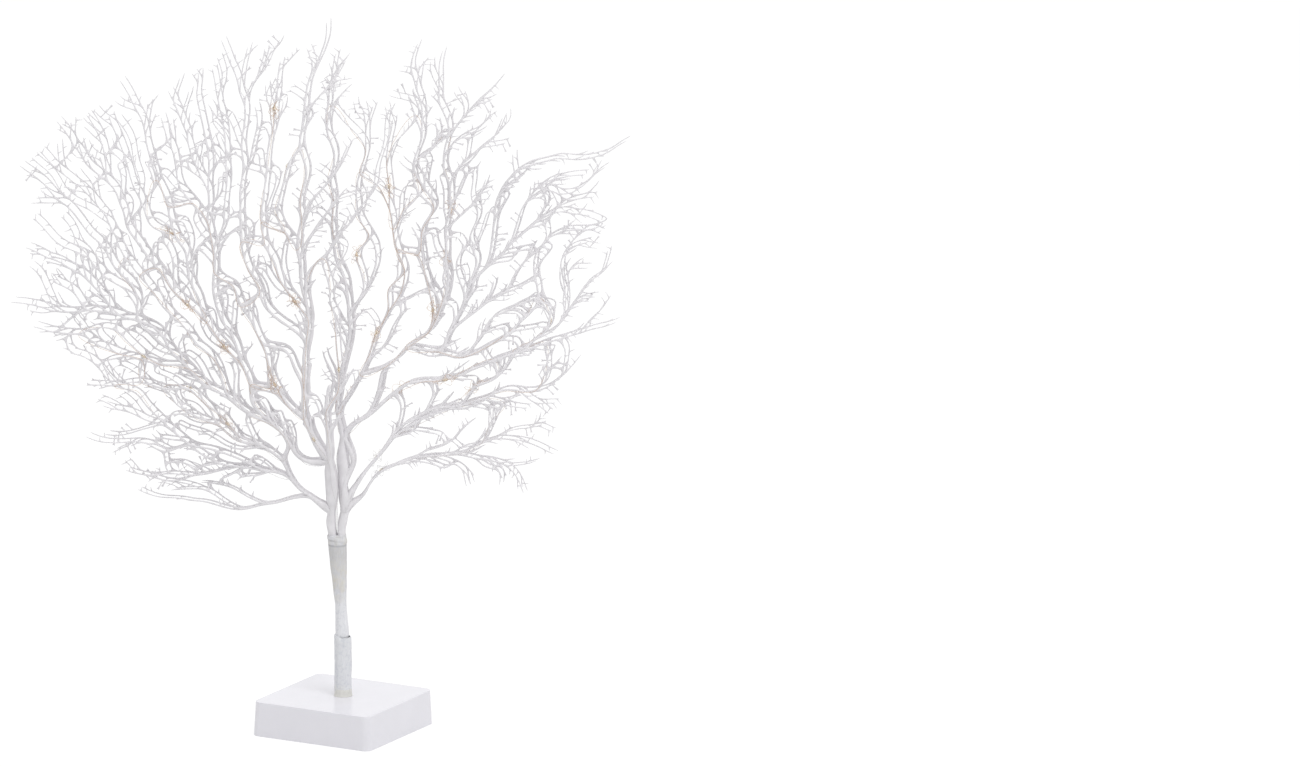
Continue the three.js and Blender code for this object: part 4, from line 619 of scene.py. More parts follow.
def lower_tape(cloth):
    """The sleeve on the tube: wound cloth with upright creases, a bulge at the right, and a mouth that
    dips in front and is turned in over the tube's rim."""
    def rim(turn):
        tilt = 0.8 * math.cos(turn - TO_LEFT) - 1.1 * max(0, math.cos(turn - TO_FRONT))
        return TUBE_TOP + 0.9 + tilt + 0.5 * rippled(turn, 0, 1.4, 10, 3)

    def outside(turn, z):
        bulge = 0.55 * max(0, math.cos(turn - TO_RIGHT)) * math.exp(-((z - 56) / 11) ** 2)
        bulge += max(0, math.cos(turn - TO_LEFT)) * (0.35 + 0.4 * smooth((z - 62) / 14))
        spread = 0.3 * smooth((46 - z) / 14)
        lap = (z / SLEEVE_LAP + turn / (2 * math.pi) + 0.35) % 1
        step = 0.2 * smooth(lap / 0.06) * (1 - lap)
        crease = 0.16 * rippled(turn, z, 4.5, 30, 8) + 0.12 * rippled(turn, z, 1.5, 9, 1)
        return SLEEVE_RADIUS + bulge + spread + step + crease

    def wall(turn, share):
        z = TAPE_FOOT + share * (rim(turn) - TAPE_FOOT)
        return off_axis(outside(turn, z) - 0.35 * smooth((share - 0.97) / 0.03), turn, z)

    rings = [
        round_ring(TRUNK_SIDES, lambda turn, share=n / SLEEVE_LEVELS: wall(turn, share))
        for n in range(SLEEVE_LEVELS + 1)
    ]
    for radius, drop in TURNED_IN:
        rings.append(round_ring(TRUNK_SIDES, lambda turn, radius=radius, drop=drop: off_axis(
            radius, turn, max(rim(turn) - drop, TUBE_TOP + LIP_OVER_TUBE),
        )))
    rings.append(circle(SLEEVE_BORE, TUBE_TOP + OVER_TUBE, TRUNK_SIDES))
    rings.append(circle(SLEEVE_BORE, TAPE_FOOT, TRUNK_SIDES))
    shape = Shape()
    shape.loft(rings, loop=True)
    hand_over(shape.piece("lower_tape", cloth), "cloth_tape", "lower_tape_wrap")


# Radius of the upper tape by height, as the photograph shows it
UPPER_TAPE = [(60, 4.9), (78, 4.95), (81, 5.5), (86, 5.4), (95, 5.0), (106, 4.72), (126, 5.9),
              (143, 6.9), (158, 7.55), (166, 7.6)]
WRAP_LEVELS = 150
WRAP_LAP = 24
WRAP_CLEAR = 0.04
# The wrap's inside has a ring for every sixth of its outside
INSIDE_STRIDE = 6


def upper_tape(cloth):
    """The tape on the rod and round the stems: slim, then opening over the bundle, with long folds."""
    def outside(turn, z):
        lap = (z / WRAP_LAP + turn / (2 * math.pi)) % 1
        step = 0.14 * smooth(lap / 0.05) * (1 - lap)
        open_share = smooth((z - 108) / 40)
        fold = (0.1 + 0.16 * open_share) * rippled(turn, z, 3.2, 34, 5)
        lump = 0.16 * rippled(turn, z, 1.2, 8, 12) * smooth((z - 86) / 8)
        visible = smooth((z - 80) / 2)
        return along_list(UPPER_TAPE, z) + (step + fold + lump) * visible

    def ring(radius_at, z):
        return round_ring(TRUNK_SIDES, lambda turn: leaning(radius_at(turn, z), turn, z))

    def inside(turn, z):
        return along_list(UPPER_TAPE, z) - TAPE_THICK + WRAP_CLEAR

    heights = [PLUG_END + n / WRAP_LEVELS * (WRAP_TOP - PLUG_END) for n in range(WRAP_LEVELS + 1)]
    rings = [ring(outside, z) for z in heights] + [ring(inside, z) for z in heights[::-INSIDE_STRIDE]]
    shape = Shape()
    shape.loft(rings, loop=True)
    hand_over(shape.piece("upper_tape", cloth), "cloth_tape", "upper_tape_wrap")


BAND_RADIUS = 7.4
# A strip's section: on its outer side or its inner one, and how far across its width
BAND_SECTION = (
    (1, 0), (1, 0.06), (1, 0.3), (1, 0.5), (1, 0.7), (1, 0.94), (1, 1), (0, 1), (0, 0.5), (0, 0),
)
BAND_EDGE = 0.4
# The tape folded over the bundle's top between the stems: radius and height
BAND_TOP = ((7.7, 165.4), (7.4, 166.2), (6.2, 166.5), (2, 165.9), (1.7, 165.2), (6.4, 165.1))


def binding_strips(cloth):
    """Three turns of tape that close the wrap: two level, and one that crosses them aslant, high at the
    left and low at the right."""
    strips = [
        {"low": 158.2, "high": 161.7, "tilt": 0.3, "over": 0.35, "seed": 21},
        {"low": 162.4, "high": 166, "tilt": 0.4, "over": 0.35, "seed": 27},
        {"low": 160.6, "high": 164, "tilt": 2.4, "over": 0.75, "seed": 34},
    ]

    def corner(turn, strip, side, share):
        middle = (strip["low"] + strip["high"]) / 2
        width = (strip["high"] - strip["low"]) * (1 + 0.1 * rippled(turn, 0, 1.1, 9, strip["seed"]))
        z = middle + (share - 0.5) * width + strip["tilt"] * math.cos(turn - TO_LEFT)
        wrinkle = 0.22 * rippled(turn + 0.5 * share, z, 4, 2.2, strip["seed"] + 3)
        edge = BAND_EDGE if share in (0, 1) else 0
        return leaning(BAND_RADIUS + side * (strip["over"] + wrinkle - edge), turn, z)

    shape = Shape()
    for strip in strips:
        shape.loft([
            round_ring(TRUNK_SIDES, lambda turn, strip=strip, at=at: corner(turn, strip, *at))
            for at in BAND_SECTION
        ], loop=True)
    shape.loft([
        round_ring(TRUNK_SIDES, lambda turn, radius=radius, z=z: leaning(
            radius, turn, z + 0.5 * rippled(turn, radius, 1.6, 2, 50),
        ))
        for radius, z in BAND_TOP
    ], loop=True)
    hand_over(shape.piece("binding_tape", cloth), "cloth_tape", "binding_band")


# The glue's section: how ragged, height and radius
GLUE_SECTION = (
    (0.2, 29.05, 6.58), (1, 29.05, 7.75), (1, 29.3, 7.85), (1, 29.6, 7.55), (0.8, 30.4, 7.35),
    (0.7, 31.5, 7.25), (0.7, 33, 7.25), (0.5, 34.6, 7.2), (0.4, 35.2, 6.95), (0.2, 33.3, 6.58),
)


def glue_collar(glue):
    """Glue pressed out at the trunk's foot: a thin, ragged skirt and a collar that climbs the tape."""
    def skirt(turn, share, z, reach):
        ragged = 0.5 * rippled(turn, 0, 1.3, 9, 40) + 0.3 * rippled(turn, 0, 3.5, 9, 41)
        return off_axis(reach + share * ragged, turn, z)

    shape = Shape()
    shape.loft([
        round_ring(TRUNK_SIDES, lambda turn, row=row: skirt(turn, *row)) for row in GLUE_SECTION
    ], loop=True)
    hand_over(shape.piece("glue_collar", glue), "hot_glue", "glue_ring")


# Coral. A moulding is one flat net that is used twice, so each knot has a place in the net's plane,
# a half thickness, and for the front and the rear copy how far aside and how deep it lies there.

class Knot:
    def __init__(self, x, z, girth, copies, wide=1):
        self.x = x
        self.z = z
        self.girth = girth
        self.copies = copies
        self.wide = wide
        self.links = []


def heading(here, there):
    """The direction from one knot to another in the net's plane."""
    return math.atan2(there.z - here.z, there.x - here.x)


def distance(here, there):
    return math.hypot(there.x - here.x, there.z - here.z)


def link(net, i, j):
    net[i].links.append(j)
    net[j].links.append(i)


def place_from(knot, way, long):
    """The place at a distance from a knot, along a heading."""
    return knot.x + math.cos(way) * long, knot.z + math.sin(way) * long


def cubic(t):
    """What a smooth curve takes, at a share of its way, of its two ends and of the slopes there."""
    return 2 * t ** 3 - 3 * t ** 2 + 1, 3 * t ** 2 - 2 * t ** 3, t ** 3 - 2 * t ** 2 + t, t ** 3 - t ** 2


def welded(node):
    """A node's mesh to work on, with each corner once."""
    work = bmesh.new()
    work.from_mesh(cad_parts[node].data)
    bmesh.ops.remove_doubles(work, verts=work.verts, dist=SAME_CORNER * MM)
    work.verts.ensure_lookup_table()
    return work


def frame_corners(node):
    """A node's corners in the crown's own millimetres, with the edges between them."""
    work = welded(node)
    into = IN_CROWN.inverted()
    corners = [into @ (v.co / MM) for v in work.verts]
    near = [[e.other_vert(v).index for e in v.link_edges] for v in work.verts]
    work.free()
    return corners, near


def flat_tree(corners):
    tree = KDTree(len(corners))
    for n, corner in enumerate(corners):
        tree.insert((corner.x, 0, corner.z), n)
    tree.balance()
    return tree


def twins(tree, corner):
    return [n for _, n, _ in tree.find_range((corner.x, 0, corner.z), SAME_PLACE)]


def read_net(front_node, rear_node):
    """The net of knots and twigs that the frame's two copies of a moulding share. In the solid a knot
    is a corner in front and one behind at the same place, and a tip is a single corner."""
    corners, near = frame_corners(front_node)
    rear, _ = frame_corners(rear_node)
    tree = flat_tree(corners)
    rear_tree = flat_tree(rear)

    def in_copies(corner, depth):
        reach = math.hypot(corner.x - CROWN_X, corner.z)
        aside = COPY_SHIFT * smooth((reach - SHIFT_START) / SHIFT_RISE)
        _, nearest, _ = rear_tree.find((corner.x + aside, 0, corner.z))
        depths = [rear[n].y for n in twins(rear_tree, rear[nearest])]
        return (0, depth), (aside, (min(depths) + max(depths)) / 2)

    net = []
    knot_at = {}
    for n, corner in enumerate(corners):
        pair = sorted(twins(tree, corner), key=lambda i: corners[i].y)
        if len(pair) == 2 and pair[0] == n:
            back = corners[pair[1]]
            knot_at[n] = len(net)
            girth = (back.y - corner.y) / 2
            net.append(Knot(corner.x, corner.z, girth, in_copies(corner, (corner.y + back.y) / 2)))
    for n, i in knot_at.items():
        for other in near[n]:
            if other in knot_at and knot_at[other] > i:
                link(net, i, knot_at[other])
    for n, corner in enumerate(corners):
        if len(twins(tree, corner)) > 1 or len(near[n]) != 4:
            continue
        fronts = [knot_at[other] for other in near[n] if other in knot_at]
        if len(fronts) != 1:
            continue
        knot = net[fronts[0]]
        if math.hypot(corner.x - knot.x, corner.z - knot.z) > TIP_REACH * knot.girth:
            net.append(Knot(corner.x, corner.z, 0, in_copies(corner, corner.y)))
            link(net, fronts[0], len(net) - 1)
    return net


def flow(net, i, j):
    """The direction in which the twig from knot i to knot j leaves it: on from the twig opposite."""
    here = net[i]
    out = heading(here, net[j])
    others = [k for k in here.links if k != j]
    if others:
        def opposite(k):
            return math.cos(heading(here, net[k]) - out)
        k = min(others, key=opposite)
        if opposite(k) < RUNS_ON:
            return heading(net[k], net[j])
    return out


def mixed(one, other, t):
    return tuple(tuple(a * (1 - t) + b * t for a, b in zip(p, q)) for p, q in zip(one, other))


def smoothed(net, chance):
    """The same net with each twig bent into a smooth curve of short steps, swollen at its forks."""
    fine = [
        Knot(k.x, k.z, k.girth * (FORK_SWELL if len(k.links) > 2 else 1), k.copies, k.wide) for k in net
    ]
    for i, here in enumerate(net):
        for j in here.links:
            if j < i:
                continue
            there = net[j]
            long = distance(here, there)
            leave = flow(net, i, j)
            arrive = flow(net, j, i) + math.pi
            steps = max(2, round(long / max(SUB_STEP, STEP_OF_GIRTH * here.girth)))
            thin = there.girth or END_GIRTH
            sway = chance.uniform(-SWAY, SWAY) * long
            out = heading(here, there) + math.pi / 2
            last = i
            for n in range(1, steps):
                t = n / steps
                start, end, out_slope, in_slope = cubic(t)
                out_slope, in_slope = long * out_slope, long * in_slope
                aside = sway * math.sin(math.pi * t)
                x = start * here.x + end * there.x
                x = x + out_slope * math.cos(leave) + in_slope * math.cos(arrive)
                z = start * here.z + end * there.z
                z = z + out_slope * math.sin(leave) + in_slope * math.sin(arrive)
                girth = (here.girth * (1 - t) + thin * t) * (1 - WAIST * math.sin(math.pi * t))
                fine.append(Knot(
                    x + aside * math.cos(out), z + aside * math.sin(out),
                    girth * chance.uniform(1 - UNEVEN, 1 + UNEVEN), mixed(here.copies, there.copies, t),
                    here.wide * (1 - t) + there.wide * t,
                ))
                link(fine, last, len(fine) - 1)
                last = len(fine) - 1
            link(fine, last, j)
    return fine


class Crowd:
    """Where twigs lie in the net's plane, as points about a millimetre apart in square cells."""
    CELL = 9

    def __init__(self, net):
        self.cells = {}
        for i, knot in enumerate(net):
            for j in knot.links:
                if j > i:
                    self.add(net, i, j)

    def add(self, net, i, j):
        here, there = net[i], net[j]
        count = max(1, math.ceil(distance(here, there)))
        for n in range(count + 1):
            x = here.x + (there.x - here.x) * n / count
            z = here.z + (there.z - here.z) * n / count
            key = (math.floor(x / self.CELL), math.floor(z / self.CELL))
            self.cells.setdefault(key, []).append((x, z, i, j))

    def room(self, x, z, leave_out):
        """How far the nearest twig is, up to a cell away, but for those at the knots left out."""
        least = self.CELL
        cx, cz = math.floor(x / self.CELL), math.floor(z / self.CELL)
        for key in [(cx + a, cz + b) for a in (-1, 0, 1) for b in (-1, 0, 1)]:
            for px, pz, i, j in self.cells.get(key, ()):
                if i not in leave_out and j not in leave_out:
                    least = min(least, math.hypot(px - x, pz - z))
        return least


def step_out(net, crowd, i, way, long, girth):
    """A new knot at a distance from knot i, in its plane, linked to it."""
    net.append(Knot(*place_from(net[i], way, long), girth, net[i].copies))
    link(net, i, len(net) - 1)
    crowd.add(net, i, len(net) - 1)
    return len(net) - 1


def outward_heading(net, i):
    """Along the twig at a plain knot, away from the trunk."""
    a, b = (net[k] for k in net[i].links)
    if from_root(a) > from_root(b):
        a, b = b, a
    return heading(a, b)


def branch_off(net, i, chance, least, most):
    """A side of the twig at a plain knot, and a heading that leaves it there by an angle in a range."""
    side = chance.choice((-1, 1))
    return side, outward_heading(net, i) + side * chance.uniform(least, most)


def near_knots(net, i, hops=2):
    around = {i}
    for _ in range(hops):
        around |= {k for n in around for k in net[n].links}
    return around


def from_root(knot):
    return math.hypot(knot.x - ROOT[0], knot.z - ROOT[1])


def edge_in_crown():
    """The crown's edge in its own millimetres."""
    start = IN_CROWN.translation
    aside = math.hypot(start.x, start.y)
    per_mm = PIXELS_PER_METRE * MM
    return [
        ((column - TRUNK_COLUMN) / per_mm + aside,
         (GROUND_ROW - row) / per_mm / math.cos(VIEW_RISE) - WRAP_TOP) for column, row in CROWN_EDGE
    ]


def within(edge, x, z, margin):
    """Whether a place stays inside the crown's edge, with a margin towards the trunk."""
    far = math.hypot(x - ROOT[0], z - ROOT[1])
    x += (x - ROOT[0]) / far * margin
    z += (z - ROOT[1]) / far * margin
    inside = False
    for (ax, az), (bx, bz) in zip(edge, edge[1:] + edge[:1]):
        if (az > z) != (bz > z) and x < ax + (z - az) / (bz - az) * (bx - ax):
            inside = not inside
    return inside


# How far a moulding's fine net reaches over the other side's, and where the crown's middle, which
# both mouldings fill, has few twigs of its own
OVERLAP = 8
MIDDLE_X = 12
MIDDLE_HALF = 35
MIDDLE_FADE = 80
MIDDLE_FOOT = 70
MIDDLE_RISE = 50
MIDDLE_THINNED = 0.9
# Near the crown's edge twigs end free; further in, one that comes close to another closes into it
FREE_RIM = 40
RIM_ROOM = 8.8
MEETING_SHARE = 0.62
JOINING_REACH = 10.5
# A net twig leaves by an angle, looks ahead by so many steps, tapers at each, turns to the outward
# way and waves about it. Its own last steps and the knots near its foot don't count as in its way.
TWIG_ANGLE = (0.4, 0.75)
TWIG_LEAST = 0.5
TWIG_SHARE = 0.8
FOOT_STEPS = 3
FOOT_HOPS = 3
OWN_HOPS = 4
TWIG_STEPS = 22
LOOK_AHEAD = 1.6
TWIG_TAPER = 0.985
TWIG_TURN = 0.16
TWIG_WAVE = 0.8
TWIG_WANDER = 0.1
EDGE_MARGIN = 2
# A fine twig: its angle and bends, its step, the room it needs, its half thickness at the foot, taper,
# and least at the end
FINE_ANGLE = (0.5, 1.15)
FINE_BEND = 0.22
FINE_BACK = 0.08
FINE_WANDER = 0.12
FINE_COUNTS = (1, 2, 2, 3, 4, 5)
FINE_STEP = 4.4
FINE_AHEAD = 2
FINE_ROOM = 2.6
FINE_SHARE = 0.6
FINE_FOOT = (0.42, 0.55)
FINE_TAPER = 0.93
FINE_END = 0.36
# A spike: its angle, its length, the room it needs, its half thickness, and when and how it forks
SPIKE_ANGLE = (0.9, 1.6)
SPIKE_LEAN = 0.2
SPIKE_AHEAD = 1
SPIKE_LONG = (5, 11)
SPIKE_ROOM = 0.9
SPIKE_OUT = 0.8
SPIKE_GIRTH = 0.46
FORK_FROM = 7
FORK_CHANCE = 0.3
FORK_GIRTH = 0.4
FORK_TURNS = (0.45, -0.4)
FORK_AT = 0.55
PRONG_LONG = 0.5


def joining_knot(net, at, leave_out, reach):
    """The nearest plain knot within reach that a twig can run into, or none."""
    near = [
        (distance(net[at], knot), k) for k, knot in enumerate(net)
        if len(knot.links) == 2 and k not in leave_out and abs(knot.x - net[at].x) < reach
        and abs(knot.z - net[at].z) < reach
    ]
    long, k = min(near, default=(reach, None))
    return k if long < reach else None


def grow_net_twigs(net, crowd, edge, chance, hand, share, girth, bare_reach, room):
    """Twigs that grow into the open cells, bend outwards as the boughs do, and close into the twig that
    they meet or end free at the crown's edge."""
    starts = [i for i, knot in enumerate(net) if len(knot.links) == 2 and from_root(knot) > bare_reach]
    chance.shuffle(starts)
    for i in starts[:int(share * len(starts))]:
        knot = net[i]
        crowded = 1 - smooth((abs(knot.x - MIDDLE_X) - MIDDLE_HALF) / MIDDLE_FADE)
        crowded *= smooth((knot.z - MIDDLE_FOOT) / MIDDLE_RISE)
        if len(knot.links) > 2 or hand * knot.x < -OVERLAP or chance.random() < MIDDLE_THINNED * crowded:
            continue
        _, way = branch_off(net, i, chance, *TWIG_ANGLE)
        leave_out = near_knots(net, i, FOOT_HOPS)
        x, z = place_from(knot, way, room + knot.girth)
        needed = room if within(edge, knot.x, knot.z, FREE_RIM) else RIM_ROOM
        if crowd.room(x, z, leave_out) < needed or not within(edge, x, z, EDGE_MARGIN):
            continue
        at = i
        thick = min(girth, max(TWIG_LEAST, TWIG_SHARE * knot.girth))
        phase = chance.uniform(0, 2 * math.pi)
        for n in range(TWIG_STEPS):
            long = SUB_STEP + (knot.girth if n == 0 else 0)
            x, z = place_from(net[at], way, long * LOOK_AHEAD)
            if not within(edge, x, z, EDGE_MARGIN):
                break
            if crowd.room(x, z, leave_out) < MEETING_SHARE * room:
                inner = n > 0 and within(edge, x, z, FREE_RIM)
                other = joining_knot(net, at, leave_out, JOINING_REACH) if inner else None
                if other is not None:
                    link(net, at, other)
                    crowd.add(net, at, other)
                break
            at = step_out(net, crowd, at, way, long, thick)
            leave_out = (leave_out if n < FOOT_STEPS else near_knots(net, at, OWN_HOPS)) | {at}
            thick = max(END_GIRTH, thick * TWIG_TAPER)
            outward = math.atan2(net[at].z - ROOT[1], net[at].x - ROOT[0])
            way += TWIG_TURN * math.sin(outward - way) + TWIG_TURN * math.sin(phase + TWIG_WAVE * n)
            way += chance.uniform(-TWIG_WANDER, TWIG_WANDER)
        if at != i and len(net[at].links) == 1:
            net[at].girth = 0


def grow_fine_twigs(net, crowd, edge, chance, share, bare_reach):
    """Fine twigs that reach into the open cells of the net and end free."""
    for i in range(len(net)):
        knot = net[i]
        if len(knot.links) != 2 or chance.random() > share or from_root(knot) < bare_reach:
            continue
        if not within(edge, knot.x, knot.z, FREE_RIM / 2):
            continue
        side, way = branch_off(net, i, chance, *FINE_ANGLE)
        bend = chance.uniform(-FINE_BEND, FINE_BEND) - side * FINE_BACK
        steps = chance.choice(FINE_COUNTS)
        leave_out = near_knots(net, i)
        at = i
        girth = max(FINE_FOOT[0], min(FINE_FOOT[1], knot.girth * FINE_SHARE))
        for n in range(steps):
            long = FINE_STEP + (knot.girth if n == 0 else 0)
            x, z = place_from(net[at], way, long + FINE_AHEAD)
            if crowd.room(x, z, leave_out) < FINE_ROOM or not within(edge, x, z, EDGE_MARGIN):
                break
            at = step_out(net, crowd, at, way, long, girth)
            leave_out = leave_out | {at}
            girth = max(FINE_END, girth * FINE_TAPER)
            way += bend + chance.uniform(-FINE_WANDER, FINE_WANDER)
        if at != i:
            net[at].girth = 0


def grow_spikes(net, crowd, edge, chance, spacing, bare_reach):
    """Short spikes on the twigs, now and then forked, spaced at random along them."""
    wait = 0
    for i in range(len(net)):
        knot = net[i]
        if len(knot.links) != 2 or from_root(knot) < bare_reach:
            continue
        wait -= SUB_STEP
        if wait > 0:
            continue
        _, way = branch_off(net, i, chance, *SPIKE_ANGLE)
        long = chance.uniform(*SPIKE_LONG)
        x, z = place_from(knot, way, knot.girth + long + SPIKE_AHEAD)
        if crowd.room(x, z, near_knots(net, i)) < SPIKE_ROOM or not within(edge, x, z, 0):
            continue
        wait = chance.uniform(*spacing)
        foot = step_out(net, crowd, i, way, knot.girth + SPIKE_OUT, SPIKE_GIRTH)
        if long > FORK_FROM and chance.random() < FORK_CHANCE:
            fork = step_out(net, crowd, foot, way, long * FORK_AT, FORK_GIRTH)
            for turn in FORK_TURNS:
                step_out(net, crowd, fork, way + turn, long * PRONG_LONG, 0)
        else:
            step_out(net, crowd, foot, way + chance.uniform(-SPIKE_LEAN, SPIKE_LEAN), long, 0)


def net_cage(net, copy):
    """The net's cage for one copy: a ridge in front of and behind each knot, and a flank point between
    each pair of neighbouring twigs. Subdivided once, it is a round skin with soft forks."""
    points = []
    rings = []

    for knot in net:
        aside, depth = knot.copies[copy]

        def place(x, z, depth=depth, aside=aside):
            points.append(IN_CROWN @ Vector((x + aside, depth, z)) * MM)
            return len(points) - 1

        if knot.girth == 0:
            tip = place(knot.x, knot.z)
            rings.append({"front": tip, "back": tip, "flanks": [tip], "links": knot.links})
            continue
        girth = knot.girth * CAGE_SWELL
        links = sorted(knot.links, key=lambda k: heading(knot, net[k]))
        ring = {
            "front": place(knot.x, knot.z, depth - girth), "back": place(knot.x, knot.z, depth + girth),
            "links": links,
        }
        if len(links) == 1:
            turn = heading(knot, net[links[0]]) + math.pi / 2
            reach = girth * knot.wide
            ring["ends"] = [place(*place_from(knot, turn, side * reach)) for side in (1, -1)]
        else:
            ring["flanks"] = []
            for n, k in enumerate(links):
                after = links[(n + 1) % len(links)]
                start = heading(knot, net[k])
                gap = (heading(knot, net[after]) - start) % (2 * math.pi)
                shortest = min(distance(knot, net[k]), distance(knot, net[after]))
                half = girth * knot.wide
                miter = half / max(LEAST_SINE, math.sin(gap / 2)) if gap < math.pi else half
                reach = min(miter, FLANK_OF_GIRTH * half)
                if len(links) > 2:
                    reach = min(reach, max(FLANK_OF_TWIG * shortest, FORK_ROOM * girth))
                ring["flanks"].append(place(*place_from(knot, start + gap / 2, reach)))
        rings.append(ring)

    def flanks(i, j):
        ring = rings[i]
        if "ends" in ring:
            return ring["ends"]
        n = ring["links"].index(j) if len(ring["flanks"]) > 1 else 0
        return ring["flanks"][n], ring["flanks"][n - 1]

    faces = []
    for i, knot in enumerate(net):
        for j in knot.links:
            if j < i:
                continue
            front, back = rings[i]["front"], rings[i]["back"]
            far_front, far_back = rings[j]["front"], rings[j]["back"]
            left, right = flanks(i, j)
            far_right, far_left = flanks(j, i)
            for face in [
                (front, far_front, far_left, left), (left, far_left, far_back, back),
                (back, far_back, far_right, right), (right, far_right, far_front, front),
            ]:
                corners = list(dict.fromkeys(face))
                if len(corners) > 2:
                    faces.append(corners)
    for ring in rings:
        if "ends" in ring:
            left, right = ring["ends"]
            faces.append((ring["front"], left, ring["back"], right))
    return points, faces


# The stems are broad and flat where they leave the wrap: how wide against their thickness, by height
STEM_BREADTH = [(-6, 1), (0, 1.6), (8, 2.2), (30, 2.35), (58, 2.35), (80, 1.4), (110, 1)]
# The right stem's soft outer side carries it a little to the right of the frame's, by height
STEM_ASIDE = [(-6, 0), (0, 0.8), (10, 1.4), (55, 1.5), (76, 0.9), (105, 0)]
# The boughs keep their thickness longer than the frame's: half thickness there, and how much more here
BOUGH_GAIN = [(0.6, 1), (0.9, 1.04), (1.5, 1.1), (2.2, 1.04), (2.6, 1)]


STEM_HALF = 26
STEM_GIRTH = 1.9


def in_stem(knot):
    return abs(knot.x) < STEM_HALF and knot.girth >= STEM_GIRTH


def stem_breadth(knot):
    return along_list(STEM_BREADTH, knot.z) if in_stem(knot) else 1


def make_coral(paint):
    edge = edge_in_crown()
    for side, hand, seed in (("left", -1, 5), ("right", 1, 9)):
        chance = random.Random(seed)
        coarse = read_net(f"fan_{side}_front", f"fan_{side}_rear")
        for knot in coarse:
            knot.wide = stem_breadth(knot)
            if side == "right" and in_stem(knot):
                knot.x += along_list(STEM_ASIDE, knot.z) * smooth((20 - knot.x) / 10)
            knot.girth *= along_list(BOUGH_GAIN, knot.girth)
        net = smoothed(coarse, chance)
        crowd = Crowd(net)
        grow_net_twigs(net, crowd, edge, chance, hand, share=0.66, girth=0.85, bare_reach=58, room=7.2)
        grow_fine_twigs(net, crowd, edge, chance, share=0.12, bare_reach=60)
        grow_spikes(net, crowd, edge, chance, spacing=(5, 13), bare_reach=66)
        for copy, place in enumerate(("front", "rear")):
            points, faces = net_cage(net, copy)
            branch = make_piece(f"coral_{side}_{place}", points, faces, paint)
            rounding = branch.modifiers.new("rounding", "SUBSURF")
            rounding.levels = rounding.render_levels = 1
            hand_over(branch, "coral_plastic", f"fan_{side}_{place}")


# Wires and lamps

CURVE_EASE = 0.8
# Corners of a swept wire belong to one ring when they are nearer than so many radii
RING_REACH = 2.1


def centre_line(node, radius):
    """The line down the middle of a swept wire: its rings of corners, walked from one end."""
    work = welded(node)
    ring_of = {}
    rings = []
    for start in work.verts:
        if start.index in ring_of:
            continue
        members = [start]
        ring_of[start.index] = len(rings)
        for vert in members:
            for edge in vert.link_edges:
                other = edge.other_vert(vert)
                if other.index not in ring_of and edge.calc_length() < RING_REACH * radius * MM:
                    ring_of[other.index] = len(rings)
                    members.append(other)
        rings.append(members)
    middles = [sum((v.co for v in ring), Vector()) / len(ring) for ring in rings]
    beside = [
        {ring_of[e.other_vert(v).index] for v in ring for e in v.link_edges} - {n}
        for n, ring in enumerate(rings)
    ]
    work.free()
    at = next(n for n, near in enumerate(beside) if len(near) == 1)
    line = [at]
    while True:
        ahead = [n for n in beside[line[-1]] if n not in line[-2:]]
        if not ahead:
            return [middles[n] for n in line]
        line.append(ahead[0])


def curved(points, step):
    """A smooth curve through the points, as points about a step apart."""
    line = []
    for n in range(len(points) - 1):
        before = points[max(0, n - 1)]
        a, b = points[n], points[n + 1]
        after = points[min(len(points) - 1, n + 2)]
        long = (b - a).length
        leave = (b - before).normalized() * long
        arrive = (after - a).normalized() * long
        count = max(1, round(long / step))
        for k in range(count):
            start, end, out_slope, in_slope = cubic(k / count)
            line.append(start * a + end * b + CURVE_EASE * (out_slope * leave + in_slope * arrive))
    line.append(points[-1])
    return line


def twisted(line, offset, pitch, phase):
    """A strand that winds round a line at an offset, with a turn every pitch."""
    strand = []
    side = Vector((0, 1, 0))
    gone = 0
    for n, p in enumerate(line):
        ahead = (line[min(n + 1, len(line) - 1)] - line[max(n - 1, 0)]).normalized()
        side = (side - ahead * side.dot(ahead)).normalized()
        up = ahead.cross(side)
        turn = phase + 2 * math.pi * gone / pitch
        strand.append(p + offset * (math.cos(turn) * side + math.sin(turn) * up))
        if n + 1 < len(line):
            gone += (line[n + 1] - p).length
    return strand


def wire_piece(name, lines, radius, finish, loops=()):
    """A piece of round wires along lines; the loops among them are drawn SLACK_RADIUS thick."""
    curve = bpy.data.curves.new(name, "CURVE")
    curve.dimensions = "3D"
    curve.bevel_depth = radius * MM
    curve.bevel_resolution = 1
    curve.use_fill_caps = True
    curve.materials.append(finish)
    for n, line in enumerate([*lines, *loops]):
        spline = curve.splines.new("POLY")
        spline.points.add(len(line) - 1)
        for point, place in zip(spline.points, line):
            point.co = (*place, 1)
            point.radius = 1 if n < len(lines) else SLACK_RADIUS / radius
    return placed(name, curve)


STRAND_RADIUS = 0.09
STRAND_APART = 0.11
STRAND_PITCH = 5
WIRE_STEP = 1.3
STRING_RADIUS = 0.3
# Slack loops beside a lamp: how many and how long, points in each turn, their width, how and at what
# beats it varies, how many steps of the string they wind round, and the share of lamps that have none
SLACK_TURNS = (3, 4, 5)
SLACK_LONG = (10, 20)
SLACK_STEPS = 16
SLACK_WIDE = 3.4
SLACK_UNEVEN = 2.2
SLACK_STRAY = 3
SLACK_RADIUS = 0.13
SLACK_BEATS = (2.3, 1.7)
SLACK_STRETCH = 7
NO_SLACK = 0.25


